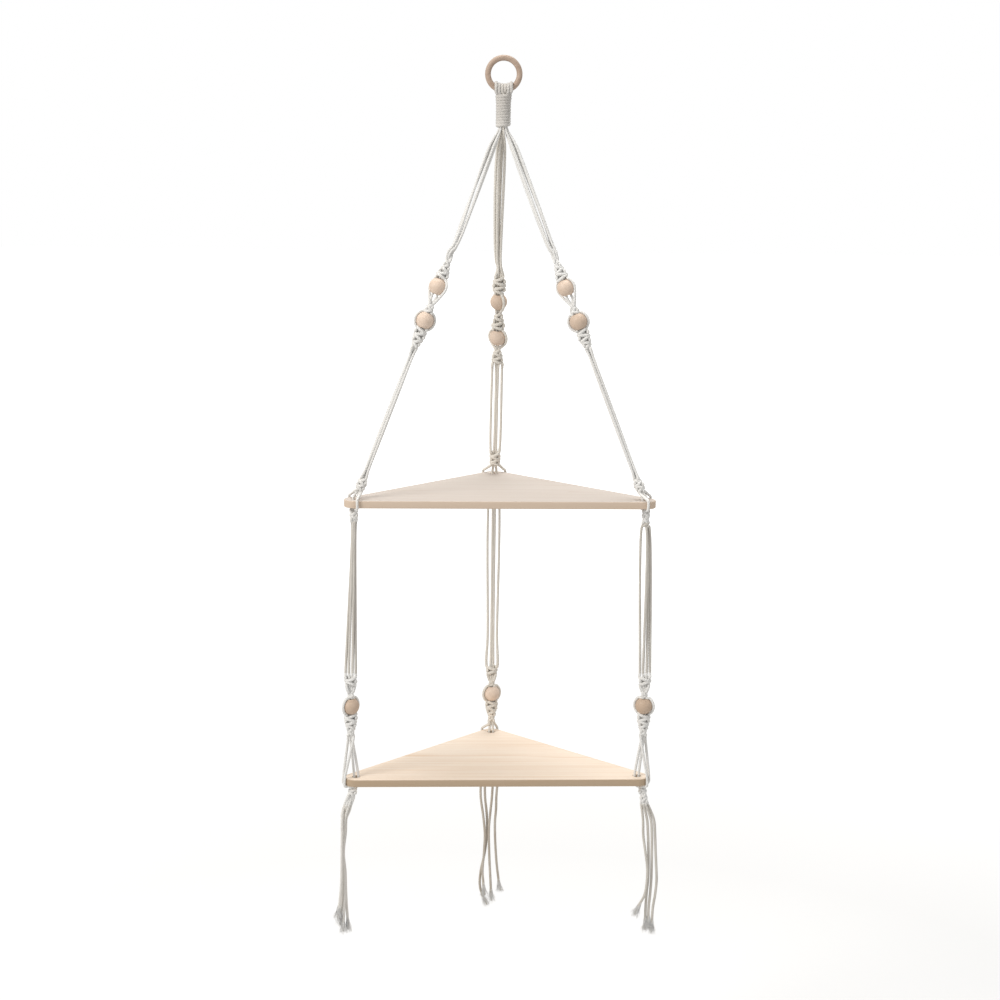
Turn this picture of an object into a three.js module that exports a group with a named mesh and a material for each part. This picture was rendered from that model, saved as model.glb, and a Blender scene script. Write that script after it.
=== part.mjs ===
// A two-tier corner shelf that hangs from one wooden ring.
// Six cotton cords are folded over the ring, gathered in a wrapped neck and tied in three strands with square
// knots and turned beads. Each strand carries one corner of both triangular boards and ends in a free tassel.
// Millimetres, +Z up, +X to the right, the viewer on the -Y side.
// The origin is where a hook bears on the ring.
import * as THREE from "three";

// Ring
const RING_MEAN_RADIUS = 16;
const RING_SECTION = 6.3;
const RING_STEPS = 32;
const RING_SIDES = 10;

// Cord
const CORD = 3;
const CORD_IN_KNOT = 2.7;
const CORD_IN_NECK = 2.1;
const CORD_SIDES = 5;
const CORD_GAP = 0.3;
const DOME_GAP = 0.3;

// Folded cords on the ring
const FOLD_CLEARANCE = 0.45;
const FOLD_ARCS = 6;

// Neck wrap
const WRAP_CORD = 2.4;
const WRAP_GAP = 0.45;
const WRAP_LOOPS = 10;
const WRAP_TOP_DROP = 36;
const WRAP_LOOP_STEPS = 24;
const WRAP_SIDES = 6;
const FUNNEL_TOP_DROP = 30;
const FUNNEL_MIDDLE_DROP = 33;
const NECK_INNER_OFFSET = 0.5;
const NECK_EXIT_DROP = 66;
const NECK_EXIT_OUTSET = 2;
const NECK_GATHER_LENGTH = 22;

// Square knots: the inner pair runs straight, the outer pair crosses before and behind it
const KNOT_PITCH = 4.6;
const KNOT_HALF_WIDTH = 4.6;
const KNOT_WIDE_HALF_WIDTH = 5.4;
const KNOT_TURN_DEPTH = 1.3;
const KNOT_SHOULDER = 2.6;
const KNOT_SLACK = 0.1;
const KNOT_LEAN = 0.4;
const KNOT_TURN_HALF = 0.8;
const KNOT_EASING = 3;
const KNOT_SPREAD = 9;

// Beads
const BEAD_DIAMETER = 18.2;
const BEAD_BORE = 6.6;
const BEAD_CLEARANCE = 0.6;
const BEAD_SEGMENTS = 14;
const BEAD_ARCS = 6;
const BEAD_PASS_ANGLE = THREE.MathUtils.degToRad(57);
const BEAD_SEAT = 5.8;
const BEAD_SEAT_LOOSE = 9.6;
const LOWER_BEAD_SEAT = 7.2;

// Boards
const BOARD_WIDTH = 325;
const BOARD_THICKNESS = 8;
const BOARD_CORNER_RADIUS = 12;
const BOARD_HOLE = 8;
const BOARD_EDGE_SOFTENING = 0.6;
const BOARD_ARC_STEPS = 8;
const BOARD_BALANCE_SHIFT = 0.7;
const UPPER_BOARD_DROP = 446;
const EDGE_CLEARANCE = 0.3;

// Beads on the upper strands, measured down the strand from the neck's lower end
const FRONT_FIRST_BEAD = 175.1;
const FRONT_SECOND_BEAD = 212.4;
const BACK_FIRST_BEAD = 189.9;
const BACK_SECOND_BEAD = 230.7;
const BACK_FIRST_BEAD_TURN = THREE.MathUtils.degToRad(65);
const LEFT_LOWER_BEAD_TURN = THREE.MathUtils.degToRad(60);

// Corner knots over and under the boards, and the free lengths between them
const CORNER_KNOT_HEIGHT = 14;
const CORNER_KNOT_INSET = 6;
const UNDER_BOARD_DROP = 8.3;
const PIVOT_DROP = 20;
const TASSEL_PIVOT_DROP = 23;
const STRAND_LENGTH = 160;
const STRAND_SPREAD = 3.7;
const UPPER_STRAND_OUTSET = 2;
const TASSEL_KNOT_OUTSET = 1.2;
const TASSEL_OUTSET = 9.6;

// The lower strands, from their upper ends down to the lower board. The front beads are measured down from
// the strands' upper ends and the back bead up from the board.
const LOWER_RUN = 114.5;
const FRONT_LOWER_BEAD_DROP = 35.8;
const BACK_LOWER_BEAD_HEIGHT = 45.4;

// Tassels
const TASSEL_LENGTH = 147;
const TASSEL_SIDES = 6;
const TASSEL_STEPS = 14;

// Places of cords beside each other, as shares of the spacing of touching cords: sideways, then frontwards
const FLAT_SHARES = { inner: [0.5, 0], outer: [1.5, 0] };
const BUNDLE_SHARES = { inner: [0.52, -0.52], outer: [1, 0.41] };

// Sizes that follow from the ones above
const CORD_SPACING = CORD + CORD_GAP;
const KNOT_SPACING = CORD_IN_KNOT + CORD_GAP;
const NECK_SPACING = CORD_IN_NECK + CORD_GAP;
const RING_DROP = RING_MEAN_RADIUS - RING_SECTION / 2;
const LOWER_BOARD_DROP = UPPER_BOARD_DROP + BOARD_THICKNESS + PIVOT_DROP + STRAND_LENGTH + LOWER_RUN;
const TIP_ANGLE = Math.PI / 8;
const BOARD_HALF_BASE = BOARD_WIDTH / 2 + BOARD_CORNER_RADIUS * (1 / Math.tan(TIP_ANGLE) - 1);
const BOARD_FRONT = -BOARD_HALF_BASE / 3 - BOARD_BALANCE_SHIFT;
const HOLE_X = BOARD_WIDTH / 2 - BOARD_CORNER_RADIUS;
const HOLE_Y = BOARD_FRONT + BOARD_CORNER_RADIUS;
const APEX_HOLE_Y = BOARD_FRONT + BOARD_HALF_BASE - BOARD_CORNER_RADIUS * Math.SQRT2;
const ROUND_CORNER_RADIUS = BOARD_CORNER_RADIUS + EDGE_CLEARANCE + CORD / 2;
const BEAD_HALF_HEIGHT = Math.sqrt(BEAD_DIAMETER ** 2 - BEAD_BORE ** 2) / 2;
const FLAT_END_OFFSET = CORD / 2 + DOME_GAP;

const V = (x, y, z) => new THREE.Vector3(x, y, z);

// Materials
const cotton = new THREE.MeshStandardMaterial({ color: 0xe4ded2, roughness: 0.95, metalness: 0 });
const pine = new THREE.MeshStandardMaterial({ color: 0xe6d3b8, roughness: 0.6, metalness: 0 });
const beech = new THREE.MeshStandardMaterial({ color: 0xc79f7a, roughness: 0.5, metalness: 0 });
const beadWood = new THREE.MeshStandardMaterial({ color: 0xd3ae84, roughness: 0.5, metalness: 0 });

const shelf = new THREE.Group();

function addMesh(name, geometry, material) {
  const mesh = new THREE.Mesh(geometry, material);
  mesh.name = name;
  shelf.add(mesh);
  return mesh;
}

// The direction of travel at each station: the mean of the ways in and out.
function travel(stations) {
  const last = stations.length - 1;
  const ways = stations.slice(1).map((next, i) => next.at.clone().sub(stations[i].at).normalize());
  return stations.map((_, i) => {
    const way = ways[Math.max(i - 1, 0)].clone();
    return way.add(ways[Math.min(i, last - 1)]).normalize();
  });
}

// A round section swept through stations, each a point and a radius. The section never twists on the way.
// The first end is flat, or a dome round its station; the last end is flat.
function sweep(stations, sides, domed = false) {
  const ways = travel(stations);
  const helper = Math.abs(ways[0].x) < Math.SQRT1_2 ? V(1, 0, 0) : V(0, 1, 0);
  const across = new THREE.Vector3().crossVectors(helper, ways[0]).normalize();
  const rings = [];
  stations.forEach((station, i) => {
    if (i > 0) {
      across.applyQuaternion(new THREE.Quaternion().setFromUnitVectors(ways[i - 1], ways[i]));
    }
    rings.push({ at: station.at, radius: station.radius, way: ways[i], across: across.clone() });
  });
  if (domed) {
    const first = rings[0];
    const rise = first.radius * Math.SQRT1_2;
    rings.unshift({ ...first, at: first.at.clone().addScaledVector(first.way, -rise), radius: rise });
  }
  const positions = [];
  rings.forEach((ring) => {
    const up = new THREE.Vector3().crossVectors(ring.way, ring.across);
    for (let k = 0; k < sides; k++) {
      const angle = (2 * Math.PI * k) / sides;
      const point = ring.at.clone();
      point.addScaledVector(ring.across, ring.radius * Math.cos(angle));
      point.addScaledVector(up, ring.radius * Math.sin(angle));
      positions.push(...point.toArray());
    }
  });
  const first = rings[0];
  const tip = first.at.clone();
  if (domed) tip.addScaledVector(first.way, -first.radius * (Math.SQRT2 - 1));
  positions.push(...tip.toArray(), ...rings[rings.length - 1].at.toArray());
  const tipIndex = rings.length * sides;
  const index = [];
  for (let k = 0; k < sides; k++) {
    const next = (k + 1) % sides;
    for (let i = 0; i < rings.length - 1; i++) {
      const a = i * sides;
      const b = a + sides;
      index.push(a + k, a + next, b + next, a + k, b + next, b + k);
    }
    const end = (rings.length - 1) * sides;
    index.push(tipIndex, next, k, tipIndex + 1, end + k, end + next);
  }
  const geometry = new THREE.BufferGeometry();
  geometry.setAttribute("position", new THREE.Float32BufferAttribute(positions, 3));
  geometry.setIndex(index);
  geometry.computeVertexNormals();
  return geometry;
}

// A strand's straight axis. Places on it are given sideways, frontwards and down the strand, so that its
// knots face the viewer.
function axisFrame(start, end) {
  const down = end.clone().sub(start).normalize();
  const front = V(0, -1, 0);
  front.addScaledVector(down, -front.dot(down)).normalize();
  const side = new THREE.Vector3().crossVectors(front, down);
  return {
    length: start.distanceTo(end),
    at(sideways, frontwards, drop) {
      const point = start.clone();
      point.addScaledVector(side, sideways);
      point.addScaledVector(front, frontwards);
      return point.addScaledVector(down, drop);
    },
  };
}

const verticalFrame = (x, y, top) => axisFrame(V(x, y, top), V(x, y, top - CORD));

// The four legs of one strand. The front leg of the outer pair crosses before the inner pair in every knot,
// and the back leg behind it; outerSide is the side, -1 or 1, where the front leg stands.
function newLegs(outerSide) {
  return { innerLeft: [], innerRight: [], outerFront: [], outerBack: [], outerSide };
}

function station(leg, at, diameter) {
  leg.push({ at, radius: diameter / 2 });
}

// All four legs beside each other, in the places that the shares give.
function lay(legs, frame, drop, shares) {
  const [innerSide, innerFront] = shares.inner.map((share) => share * CORD_SPACING);
  const [outerSide, outerFront] = shares.outer.map((share) => share * CORD_SPACING);
  station(legs.innerLeft, frame.at(-innerSide, innerFront, drop), CORD);
  station(legs.innerRight, frame.at(innerSide, innerFront, drop), CORD);
  station(legs.outerFront, frame.at(legs.outerSide * outerSide, outerFront, drop), CORD);
  station(legs.outerBack, frame.at(-legs.outerSide * outerSide, outerFront, drop), CORD);
}

function innerPair(legs, frame, drop) {
  station(legs.innerLeft, frame.at(-KNOT_SPACING / 2, 0, drop), CORD_IN_KNOT);
  station(legs.innerRight, frame.at(KNOT_SPACING / 2, 0, drop), CORD_IN_KNOT);
}

// Both outer legs, mirrored through the axis.
function outerPair(legs, frame, sideways, frontwards, drop, diameter = CORD_IN_KNOT) {
  const towards = legs.outerSide * sideways;
  station(legs.outerFront, frame.at(towards, frontwards, drop), diameter);
  station(legs.outerBack, frame.at(-towards, -frontwards, drop), diameter);
}

// A row of half knots. The outer legs change sides at each crossing, half a pitch apart from their turns.
function tieKnots(legs, frame, firstDrop, crossings, halfWidth) {
  const depth = KNOT_SPACING + KNOT_SLACK;
  const lastDrop = firstDrop + (crossings - 1) * KNOT_PITCH;
  innerPair(legs, frame, firstDrop - KNOT_PITCH / 2);
  innerPair(legs, frame, lastDrop + KNOT_PITCH / 2);
  outerPair(legs, frame, halfWidth, KNOT_TURN_DEPTH, firstDrop - KNOT_PITCH / 2);
  for (let i = 0; i < crossings; i++) {
    const drop = firstDrop + i * KNOT_PITCH;
    outerPair(legs, frame, KNOT_SHOULDER, depth, drop - KNOT_LEAN);
    outerPair(legs, frame, -KNOT_SHOULDER, depth, drop + KNOT_LEAN);
    legs.outerSide = -legs.outerSide;
    if (i < crossings - 1) {
      outerPair(legs, frame, halfWidth, KNOT_TURN_DEPTH, drop + KNOT_PITCH / 2 - KNOT_TURN_HALF);
      outerPair(legs, frame, halfWidth, KNOT_TURN_DEPTH, drop + KNOT_PITCH / 2 + KNOT_TURN_HALF);
    }
  }
  outerPair(legs, frame, halfWidth, KNOT_TURN_DEPTH, lastDrop + KNOT_PITCH / 2);
}

// The step from a knot to cords lying in a bundle, or back: the outer legs swing wide of the inner pair.
function easeKnot(legs, frame, drop) {
  const [side] = FLAT_SHARES.inner;
  station(legs.innerLeft, frame.at(-side * CORD_SPACING, -KNOT_LEAN, drop), CORD);
  station(legs.innerRight, frame.at(side * CORD_SPACING, -KNOT_LEAN, drop), CORD);
  outerPair(legs, frame, FLAT_SHARES.outer[0] * CORD_SPACING, 0, drop, CORD);
}

// The outer legs go round a bead while the inner pair goes through its bore. The turn swings the outer legs
// from the bead's sides towards its front and back.
function passBead(legs, frame, drop, turn) {
  const reach = BEAD_DIAMETER / 2 + BEAD_CLEARANCE + CORD / 2;
  for (let i = 0; i <= BEAD_ARCS; i++) {
    const angle = BEAD_PASS_ANGLE * ((2 * i) / BEAD_ARCS - 1);
    const out = reach * Math.cos(angle);
    const along = drop + reach * Math.sin(angle);
    outerPair(legs, frame, out * Math.cos(turn), out * Math.sin(turn), along, CORD);
  }
}

// A turned bead with its bore along the strand.
function makeBead(name, frame, drop) {
  const radius = BEAD_DIAMETER / 2;
  const profile = [];
  const poleAngle = Math.asin(BEAD_BORE / BEAD_DIAMETER);
  for (let i = 0; i <= BEAD_ARCS; i++) {
    const angle = poleAngle + ((Math.PI - 2 * poleAngle) * i) / BEAD_ARCS;
    profile.push(new THREE.Vector2(radius * Math.sin(angle), -radius * Math.cos(angle)));
  }
  profile.push(profile[0].clone());
  const bead = addMesh(name, new THREE.LatheGeometry(profile, BEAD_SEGMENTS), beadWood);
  const centre = frame.at(0, 0, drop);
  bead.position.copy(centre);
  const down = frame.at(0, 0, drop + CORD).sub(centre).normalize();
  bead.quaternion.setFromUnitVectors(V(0, -1, 0), down);
}

// A board corner. The inner pair drops through the hole and the outer legs go round the corner's outside,
// each at its own angle from the corner's middle line.
function passCorner(legs, corner, boardDrop, frontAngle, backAngle) {
  const lead = CORD / 2;
  const top = -boardDrop;
  const bottom = top - BOARD_THICKNESS;
  const inHole = BOARD_HOLE / 2 - EDGE_CLEARANCE - CORD / 2;
  for (const z of [top + lead, bottom - lead]) {
    station(legs.innerLeft, V(corner.x - inHole, corner.y, z), CORD);
    station(legs.innerRight, V(corner.x + inHole, corner.y, z), CORD);
  }
  const frontWay = corner.side === 0 ? -legs.outerSide : -corner.side;
  const round = (leg, way, angle) => {
    const reach = ROUND_CORNER_RADIUS / Math.cos(Math.max(0, angle - corner.arcHalf));
    const x = corner.x + reach * Math.cos(corner.out + way * angle);
    const y = corner.y + reach * Math.sin(corner.out + way * angle);
    station(leg, V(x, y, top + lead), CORD);
    station(leg, V(x, y, bottom - lead), CORD);
  };
  round(legs.outerFront, frontWay, frontAngle);
  round(legs.outerBack, -frontWay, backAngle);
  legs.outerSide = corner.endSide;
}

// The knot under a board and the legs' flat ends, which the hanging part's domes swing under.
function tieUnderBoard(legs, knotFrame, hangingFrame, pivotDrop) {
  tieKnots(legs, knotFrame, UNDER_BOARD_DROP, 2, KNOT_HALF_WIDTH);
  lay(legs, hangingFrame, pivotDrop - FLAT_END_OFFSET, FLAT_SHARES);
}

const degrees = THREE.MathUtils.degToRad;

// The three corners: side, hole, outward direction, half the angle of the rounding, and the outer legs'
// angles round both boards. endSide is the side of the front leg under each board.
const corners = {
  left: {
    side: -1,
    x: -HOLE_X,
    y: HOLE_Y,
    out: Math.PI + TIP_ANGLE,
    arcHalf: TIP_ANGLE * 3,
    upper: [degrees(76), degrees(84)],
    lower: [degrees(8), degrees(32)],
    beads: [FRONT_FIRST_BEAD, FRONT_SECOND_BEAD],
    firstBeadTurn: 0,
    lowerBead: FRONT_LOWER_BEAD_DROP,
    lowerBeadTurn: LEFT_LOWER_BEAD_TURN,
    flatRun: false,
    endSide: 1,
  },
  right: {
    side: 1,
    x: HOLE_X,
    y: HOLE_Y,
    out: -TIP_ANGLE,
    arcHalf: TIP_ANGLE * 3,
    upper: [degrees(58), degrees(79)],
    lower: [degrees(20), degrees(34)],
    beads: [FRONT_FIRST_BEAD, FRONT_SECOND_BEAD],
    firstBeadTurn: 0,
    lowerBead: FRONT_LOWER_BEAD_DROP,
    lowerBeadTurn: 0,
    flatRun: false,
    endSide: -1,
  },
  back: {
    side: 0,
    x: 0,
    y: APEX_HOLE_Y,
    out: Math.PI / 2,
    arcHalf: TIP_ANGLE * 2,
    upper: [degrees(60), degrees(60)],
    lower: [degrees(47), degrees(32)],
    beads: [BACK_FIRST_BEAD, BACK_SECOND_BEAD],
    firstBeadTurn: BACK_FIRST_BEAD_TURN,
    lowerBead: LOWER_RUN - BACK_LOWER_BEAD_HEIGHT,
    lowerBeadTurn: 0,
    flatRun: true,
    endSide: -1,
  },
};

// Ring, standing in the XZ plane with its inner top at the origin
const ringShape = new THREE.TorusGeometry(RING_MEAN_RADIUS, RING_SECTION / 2, RING_SIDES, RING_STEPS);
const ring = addMesh("hanging_ring", ringShape, beech);
ring.rotation.x = Math.PI / 2;
ring.position.z = -RING_DROP;

// Each fold crosses the ring at its own column, on a half ellipse round the ring's section there.
function foldOver(column) {
  const x = column * CORD_SPACING;
  const sectionDrop = RING_DROP + Math.sqrt(RING_MEAN_RADIUS ** 2 - x ** 2);
  const reach = RING_SECTION / 2 + FOLD_CLEARANCE + CORD / 2;
  const crownDrop = RING_DROP + Math.sqrt((RING_MEAN_RADIUS - reach) ** 2 - x ** 2);
  const height = sectionDrop - crownDrop;
  const stations = [];
  for (let i = 0; i <= FOLD_ARCS; i++) {
    const angle = (Math.PI * i) / FOLD_ARCS;
    const point = V(x, -reach * Math.cos(angle), height * Math.sin(angle) - sectionDrop);
    station(stations, point, CORD);
  }
  return stations;
}

// How far each column has drawn in at the middle of the funnel.
const DRAWN_SHARES = { "-2.5": 0.36, "-1.5": 0.5, "-0.5": 0.36, 0.5: 0.75, 1.5: 0.5, 2.5: 0.36 };

// The twelve legs' places inside the wrap: two in the middle and ten round them.
const NECK_RING_RADIUS = NECK_SPACING / (2 * Math.sin(Math.PI / 10)) + CORD_GAP / 10;
function neckPlace(column, back) {
  if (column === 0.5) return [NECK_INNER_OFFSET, (back * (NECK_SPACING + CORD_GAP / 3)) / 2];
  const shareOfTurn = { "-2.5": -2, "-1.5": -1, "-0.5": 0, "1.5": 1, "2.5": 2 }[String(column)];
  const angle = (Math.PI / 5) * shareOfTurn;
  return [NECK_RING_RADIUS * Math.sin(angle), back * NECK_RING_RADIUS * Math.cos(angle)];
}

// Down from the fold, through the wrap. The middle legs draw in first and the outermost last.
function throughNeck(leg, column, back) {
  const rowX = column * CORD_SPACING;
  const rowY = back * (RING_SECTION / 2 + FOLD_CLEARANCE + CORD / 2);
  const [x, y] = neckPlace(column, back);
  const drawnShare = DRAWN_SHARES[String(column)];
  station(leg, V(rowX, rowY, -FUNNEL_TOP_DROP), CORD);
  const middle = V(rowX + (x - rowX) * drawnShare, rowY + (y - rowY) * drawnShare, -FUNNEL_MIDDLE_DROP);
  station(leg, middle, (CORD + CORD_IN_NECK) / 2);
  station(leg, V(x, y, -WRAP_TOP_DROP), CORD_IN_NECK);
  station(leg, V(x, y, -NECK_EXIT_DROP), CORD_IN_NECK);
}

// Where each leg stands after the neck and just before the first knot: sideways and frontwards shares of the
// cord spacing. The side strands' outer legs come from the outside of the neck.
const SIDE_RUN_SHARES = {
  start: { outerFront: [0.5, 0.5], outerBack: [0.5, -0.5], near: [-0.5, 0.5], far: [-0.5, -0.5] },
  end: { outerFront: [1.15, 0.5], outerBack: [-0.15, -1.3], near: [0.1, 0.6], far: [-0.45, -0.3] },
};
const BACK_RUN_SHARES = {
  start: { outerFront: [0, 1.5], outerBack: [0, -1.5], near: [0, 0.5], far: [0, -0.5] },
  end: { outerFront: [1, 1.05], outerBack: [-1, -1.05], near: [0.43, 0.3], far: [-0.43, -0.3] },
};

function leaveNeck(legs, frame, corner, firstKnotDrop) {
  const mirror = corner.side === 0 ? 1 : corner.side;
  const runShares = corner.side === 0 ? BACK_RUN_SHARES : SIDE_RUN_SHARES;
  const lastDrop = firstKnotDrop - KNOT_SPREAD;
  const put = (shares, drop) => {
    const place = ([sideways, frontwards]) =>
      frame.at(mirror * sideways * CORD_SPACING, frontwards * CORD_SPACING, drop);
    station(legs.outerFront, place(shares.outerFront), CORD);
    station(legs.outerBack, place(shares.outerBack), CORD);
    station(mirror > 0 ? legs.innerRight : legs.innerLeft, place(shares.near), CORD);
    station(mirror > 0 ? legs.innerLeft : legs.innerRight, place(shares.far), CORD);
  };
  put(runShares.start, NECK_GATHER_LENGTH);
  put(runShares.start, lastDrop - KNOT_SPREAD);
  put(runShares.end, lastDrop);
}

// The upper part of one strand, from the ring to the end of the knot under the upper board.
function makeUpperStrand(name, corner) {
  const start = V(corner.side * NECK_EXIT_OUTSET, corner.side === 0 ? CORD_IN_NECK / 2 : 0, -NECK_EXIT_DROP);
  const inset = CORNER_KNOT_INSET;
  const end = V(
    corner.x - inset * Math.cos(corner.out),
    corner.y - inset * Math.sin(corner.out),
    CORNER_KNOT_HEIGHT - UPPER_BOARD_DROP,
  );
  const frame = axisFrame(start, end);
  const outerColumn = corner.side === 0 ? -0.5 : 2.5 * corner.side;
  const innerColumn = corner.side === 0 ? 0.5 : 1.5 * corner.side;
  const legs = newLegs(corner.side === 0 ? 1 : corner.side);
  const near = legs.outerSide > 0 ? legs.innerRight : legs.innerLeft;
  const far = legs.outerSide > 0 ? legs.innerLeft : legs.innerRight;
  throughNeck(legs.outerFront, outerColumn, -1);
  throughNeck(legs.outerBack, outerColumn, 1);
  throughNeck(near, innerColumn, -1);
  throughNeck(far, innerColumn, 1);

  const [firstBead, secondBead] = corner.beads;
  const poleToKnot = BEAD_HALF_HEIGHT + BEAD_SEAT;
  const firstKnot = firstBead - poleToKnot - 3 * KNOT_PITCH;
  leaveNeck(legs, frame, corner, firstKnot - KNOT_PITCH / 2);
  tieKnots(legs, frame, firstKnot, 4, KNOT_WIDE_HALF_WIDTH);
  passBead(legs, frame, firstBead, corner.firstBeadTurn);
  tieKnots(legs, frame, (firstBead + secondBead - KNOT_PITCH) / 2, 2, KNOT_HALF_WIDTH);
  passBead(legs, frame, secondBead, 0);
  const lastRow = secondBead + BEAD_HALF_HEIGHT + BEAD_SEAT_LOOSE;
  tieKnots(legs, frame, lastRow, 3, KNOT_HALF_WIDTH);

  const runTop = lastRow + 2.5 * KNOT_PITCH + KNOT_EASING;
  const runEnd = frame.length - 2 * KNOT_PITCH - KNOT_EASING;
  if (corner.flatRun) {
    lay(legs, frame, runTop + KNOT_SPREAD, FLAT_SHARES);
    lay(legs, frame, runEnd, FLAT_SHARES);
  } else {
    easeKnot(legs, frame, runTop);
    lay(legs, frame, runTop + KNOT_SPREAD, BUNDLE_SHARES);
    lay(legs, frame, runEnd - KNOT_SPREAD, BUNDLE_SHARES);
    easeKnot(legs, frame, runEnd);
  }
  tieKnots(legs, frame, frame.length - 1.5 * KNOT_PITCH, 2, KNOT_HALF_WIDTH);
  passCorner(legs, corner, UPPER_BOARD_DROP, ...corner.upper);
  tieUnderBoard(legs, strandFrame(corner, 0), strandFrame(corner, 0), PIVOT_DROP);

  const outer = [...legs.outerFront.reverse(), ...foldOver(outerColumn), ...legs.outerBack];
  const inner = [...near.reverse(), ...foldOver(innerColumn), ...far];
  addMesh(name + "_working_cord", sweep(outer, CORD_SIDES), cotton);
  addMesh(name + "_core_cord", sweep(inner, CORD_SIDES), cotton);
  makeBead(name + "_bead_1", frame, firstBead);
  makeBead(name + "_bead_2", frame, secondBead);
}

// The vertical axis under a corner of the upper board, starting at the board's underside.
function strandFrame(corner, spread) {
  const x = corner.x + UPPER_STRAND_OUTSET * Math.cos(corner.out) + corner.side * spread;
  const y = corner.y + UPPER_STRAND_OUTSET * Math.sin(corner.out);
  return verticalFrame(x, y, -UPPER_BOARD_DROP - BOARD_THICKNESS);
}

// The plain run between the boards: four cords side by side, domed on top and flat below.
function makeMiddleStrand(name, corner) {
  const legs = newLegs(corner.endSide);
  const top = strandFrame(corner, 0);
  const foot = strandFrame(corner, STRAND_SPREAD);
  lay(legs, top, PIVOT_DROP, FLAT_SHARES);
  lay(legs, foot, PIVOT_DROP + STRAND_LENGTH - FLAT_END_OFFSET, FLAT_SHARES);
  addLegs(name + "_strand", legs);
}

function addLegs(name, legs) {
  addMesh(name + "_core_cord_l", sweep(legs.innerLeft, CORD_SIDES, true), cotton);
  addMesh(name + "_core_cord_r", sweep(legs.innerRight, CORD_SIDES, true), cotton);
  addMesh(name + "_working_cord_f", sweep(legs.outerFront, CORD_SIDES, true), cotton);
  addMesh(name + "_working_cord_b", sweep(legs.outerBack, CORD_SIDES, true), cotton);
}

// The lower part of one strand: knots round the lower bead, the lower board's corner and the knot under it.
function makeLowerStrand(name, corner) {
  const legs = newLegs(corner.endSide);
  const frame = strandFrame(corner, STRAND_SPREAD);
  const top = PIVOT_DROP + STRAND_LENGTH;
  const bead = top + corner.lowerBead;
  lay(legs, frame, top, FLAT_SHARES);
  const knot = bead - BEAD_HALF_HEIGHT - BEAD_SEAT - KNOT_PITCH;
  lay(legs, frame, knot - KNOT_PITCH / 2 - KNOT_EASING, FLAT_SHARES);
  tieKnots(legs, frame, knot, 2, KNOT_HALF_WIDTH);
  passBead(legs, frame, bead, corner.lowerBeadTurn);
  const lastRow = bead + BEAD_HALF_HEIGHT + LOWER_BEAD_SEAT;
  tieKnots(legs, frame, lastRow, 4, KNOT_WIDE_HALF_WIDTH);
  outerPair(legs, frame, KNOT_HALF_WIDTH, CORD_SPACING, lastRow + 4 * KNOT_PITCH + KNOT_EASING, CORD);
  passCorner(legs, corner, LOWER_BOARD_DROP, ...corner.lower);
  const hanging = tasselFrame(corner);
  const underside = V(
    corner.x + TASSEL_KNOT_OUTSET * Math.cos(corner.out),
    corner.y + TASSEL_KNOT_OUTSET * Math.sin(corner.out),
    -LOWER_BOARD_DROP - BOARD_THICKNESS,
  );
  const leaning = axisFrame(underside, hanging.at(0, 0, TASSEL_PIVOT_DROP));
  outerPair(legs, leaning, KNOT_HALF_WIDTH, CORD_SPACING, UNDER_BOARD_DROP - KNOT_PITCH);
  tieUnderBoard(legs, leaning, hanging, TASSEL_PIVOT_DROP);
  addLegs(name + "_lower", legs);
  makeBead(name + "_lower_bead", frame, bead);
}

function tasselFrame(corner) {
  const x = corner.x + TASSEL_OUTSET * Math.cos(corner.out);
  const y = corner.y + TASSEL_OUTSET * Math.sin(corner.out);
  return verticalFrame(x, y, -LOWER_BOARD_DROP - BOARD_THICKNESS);
}

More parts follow.
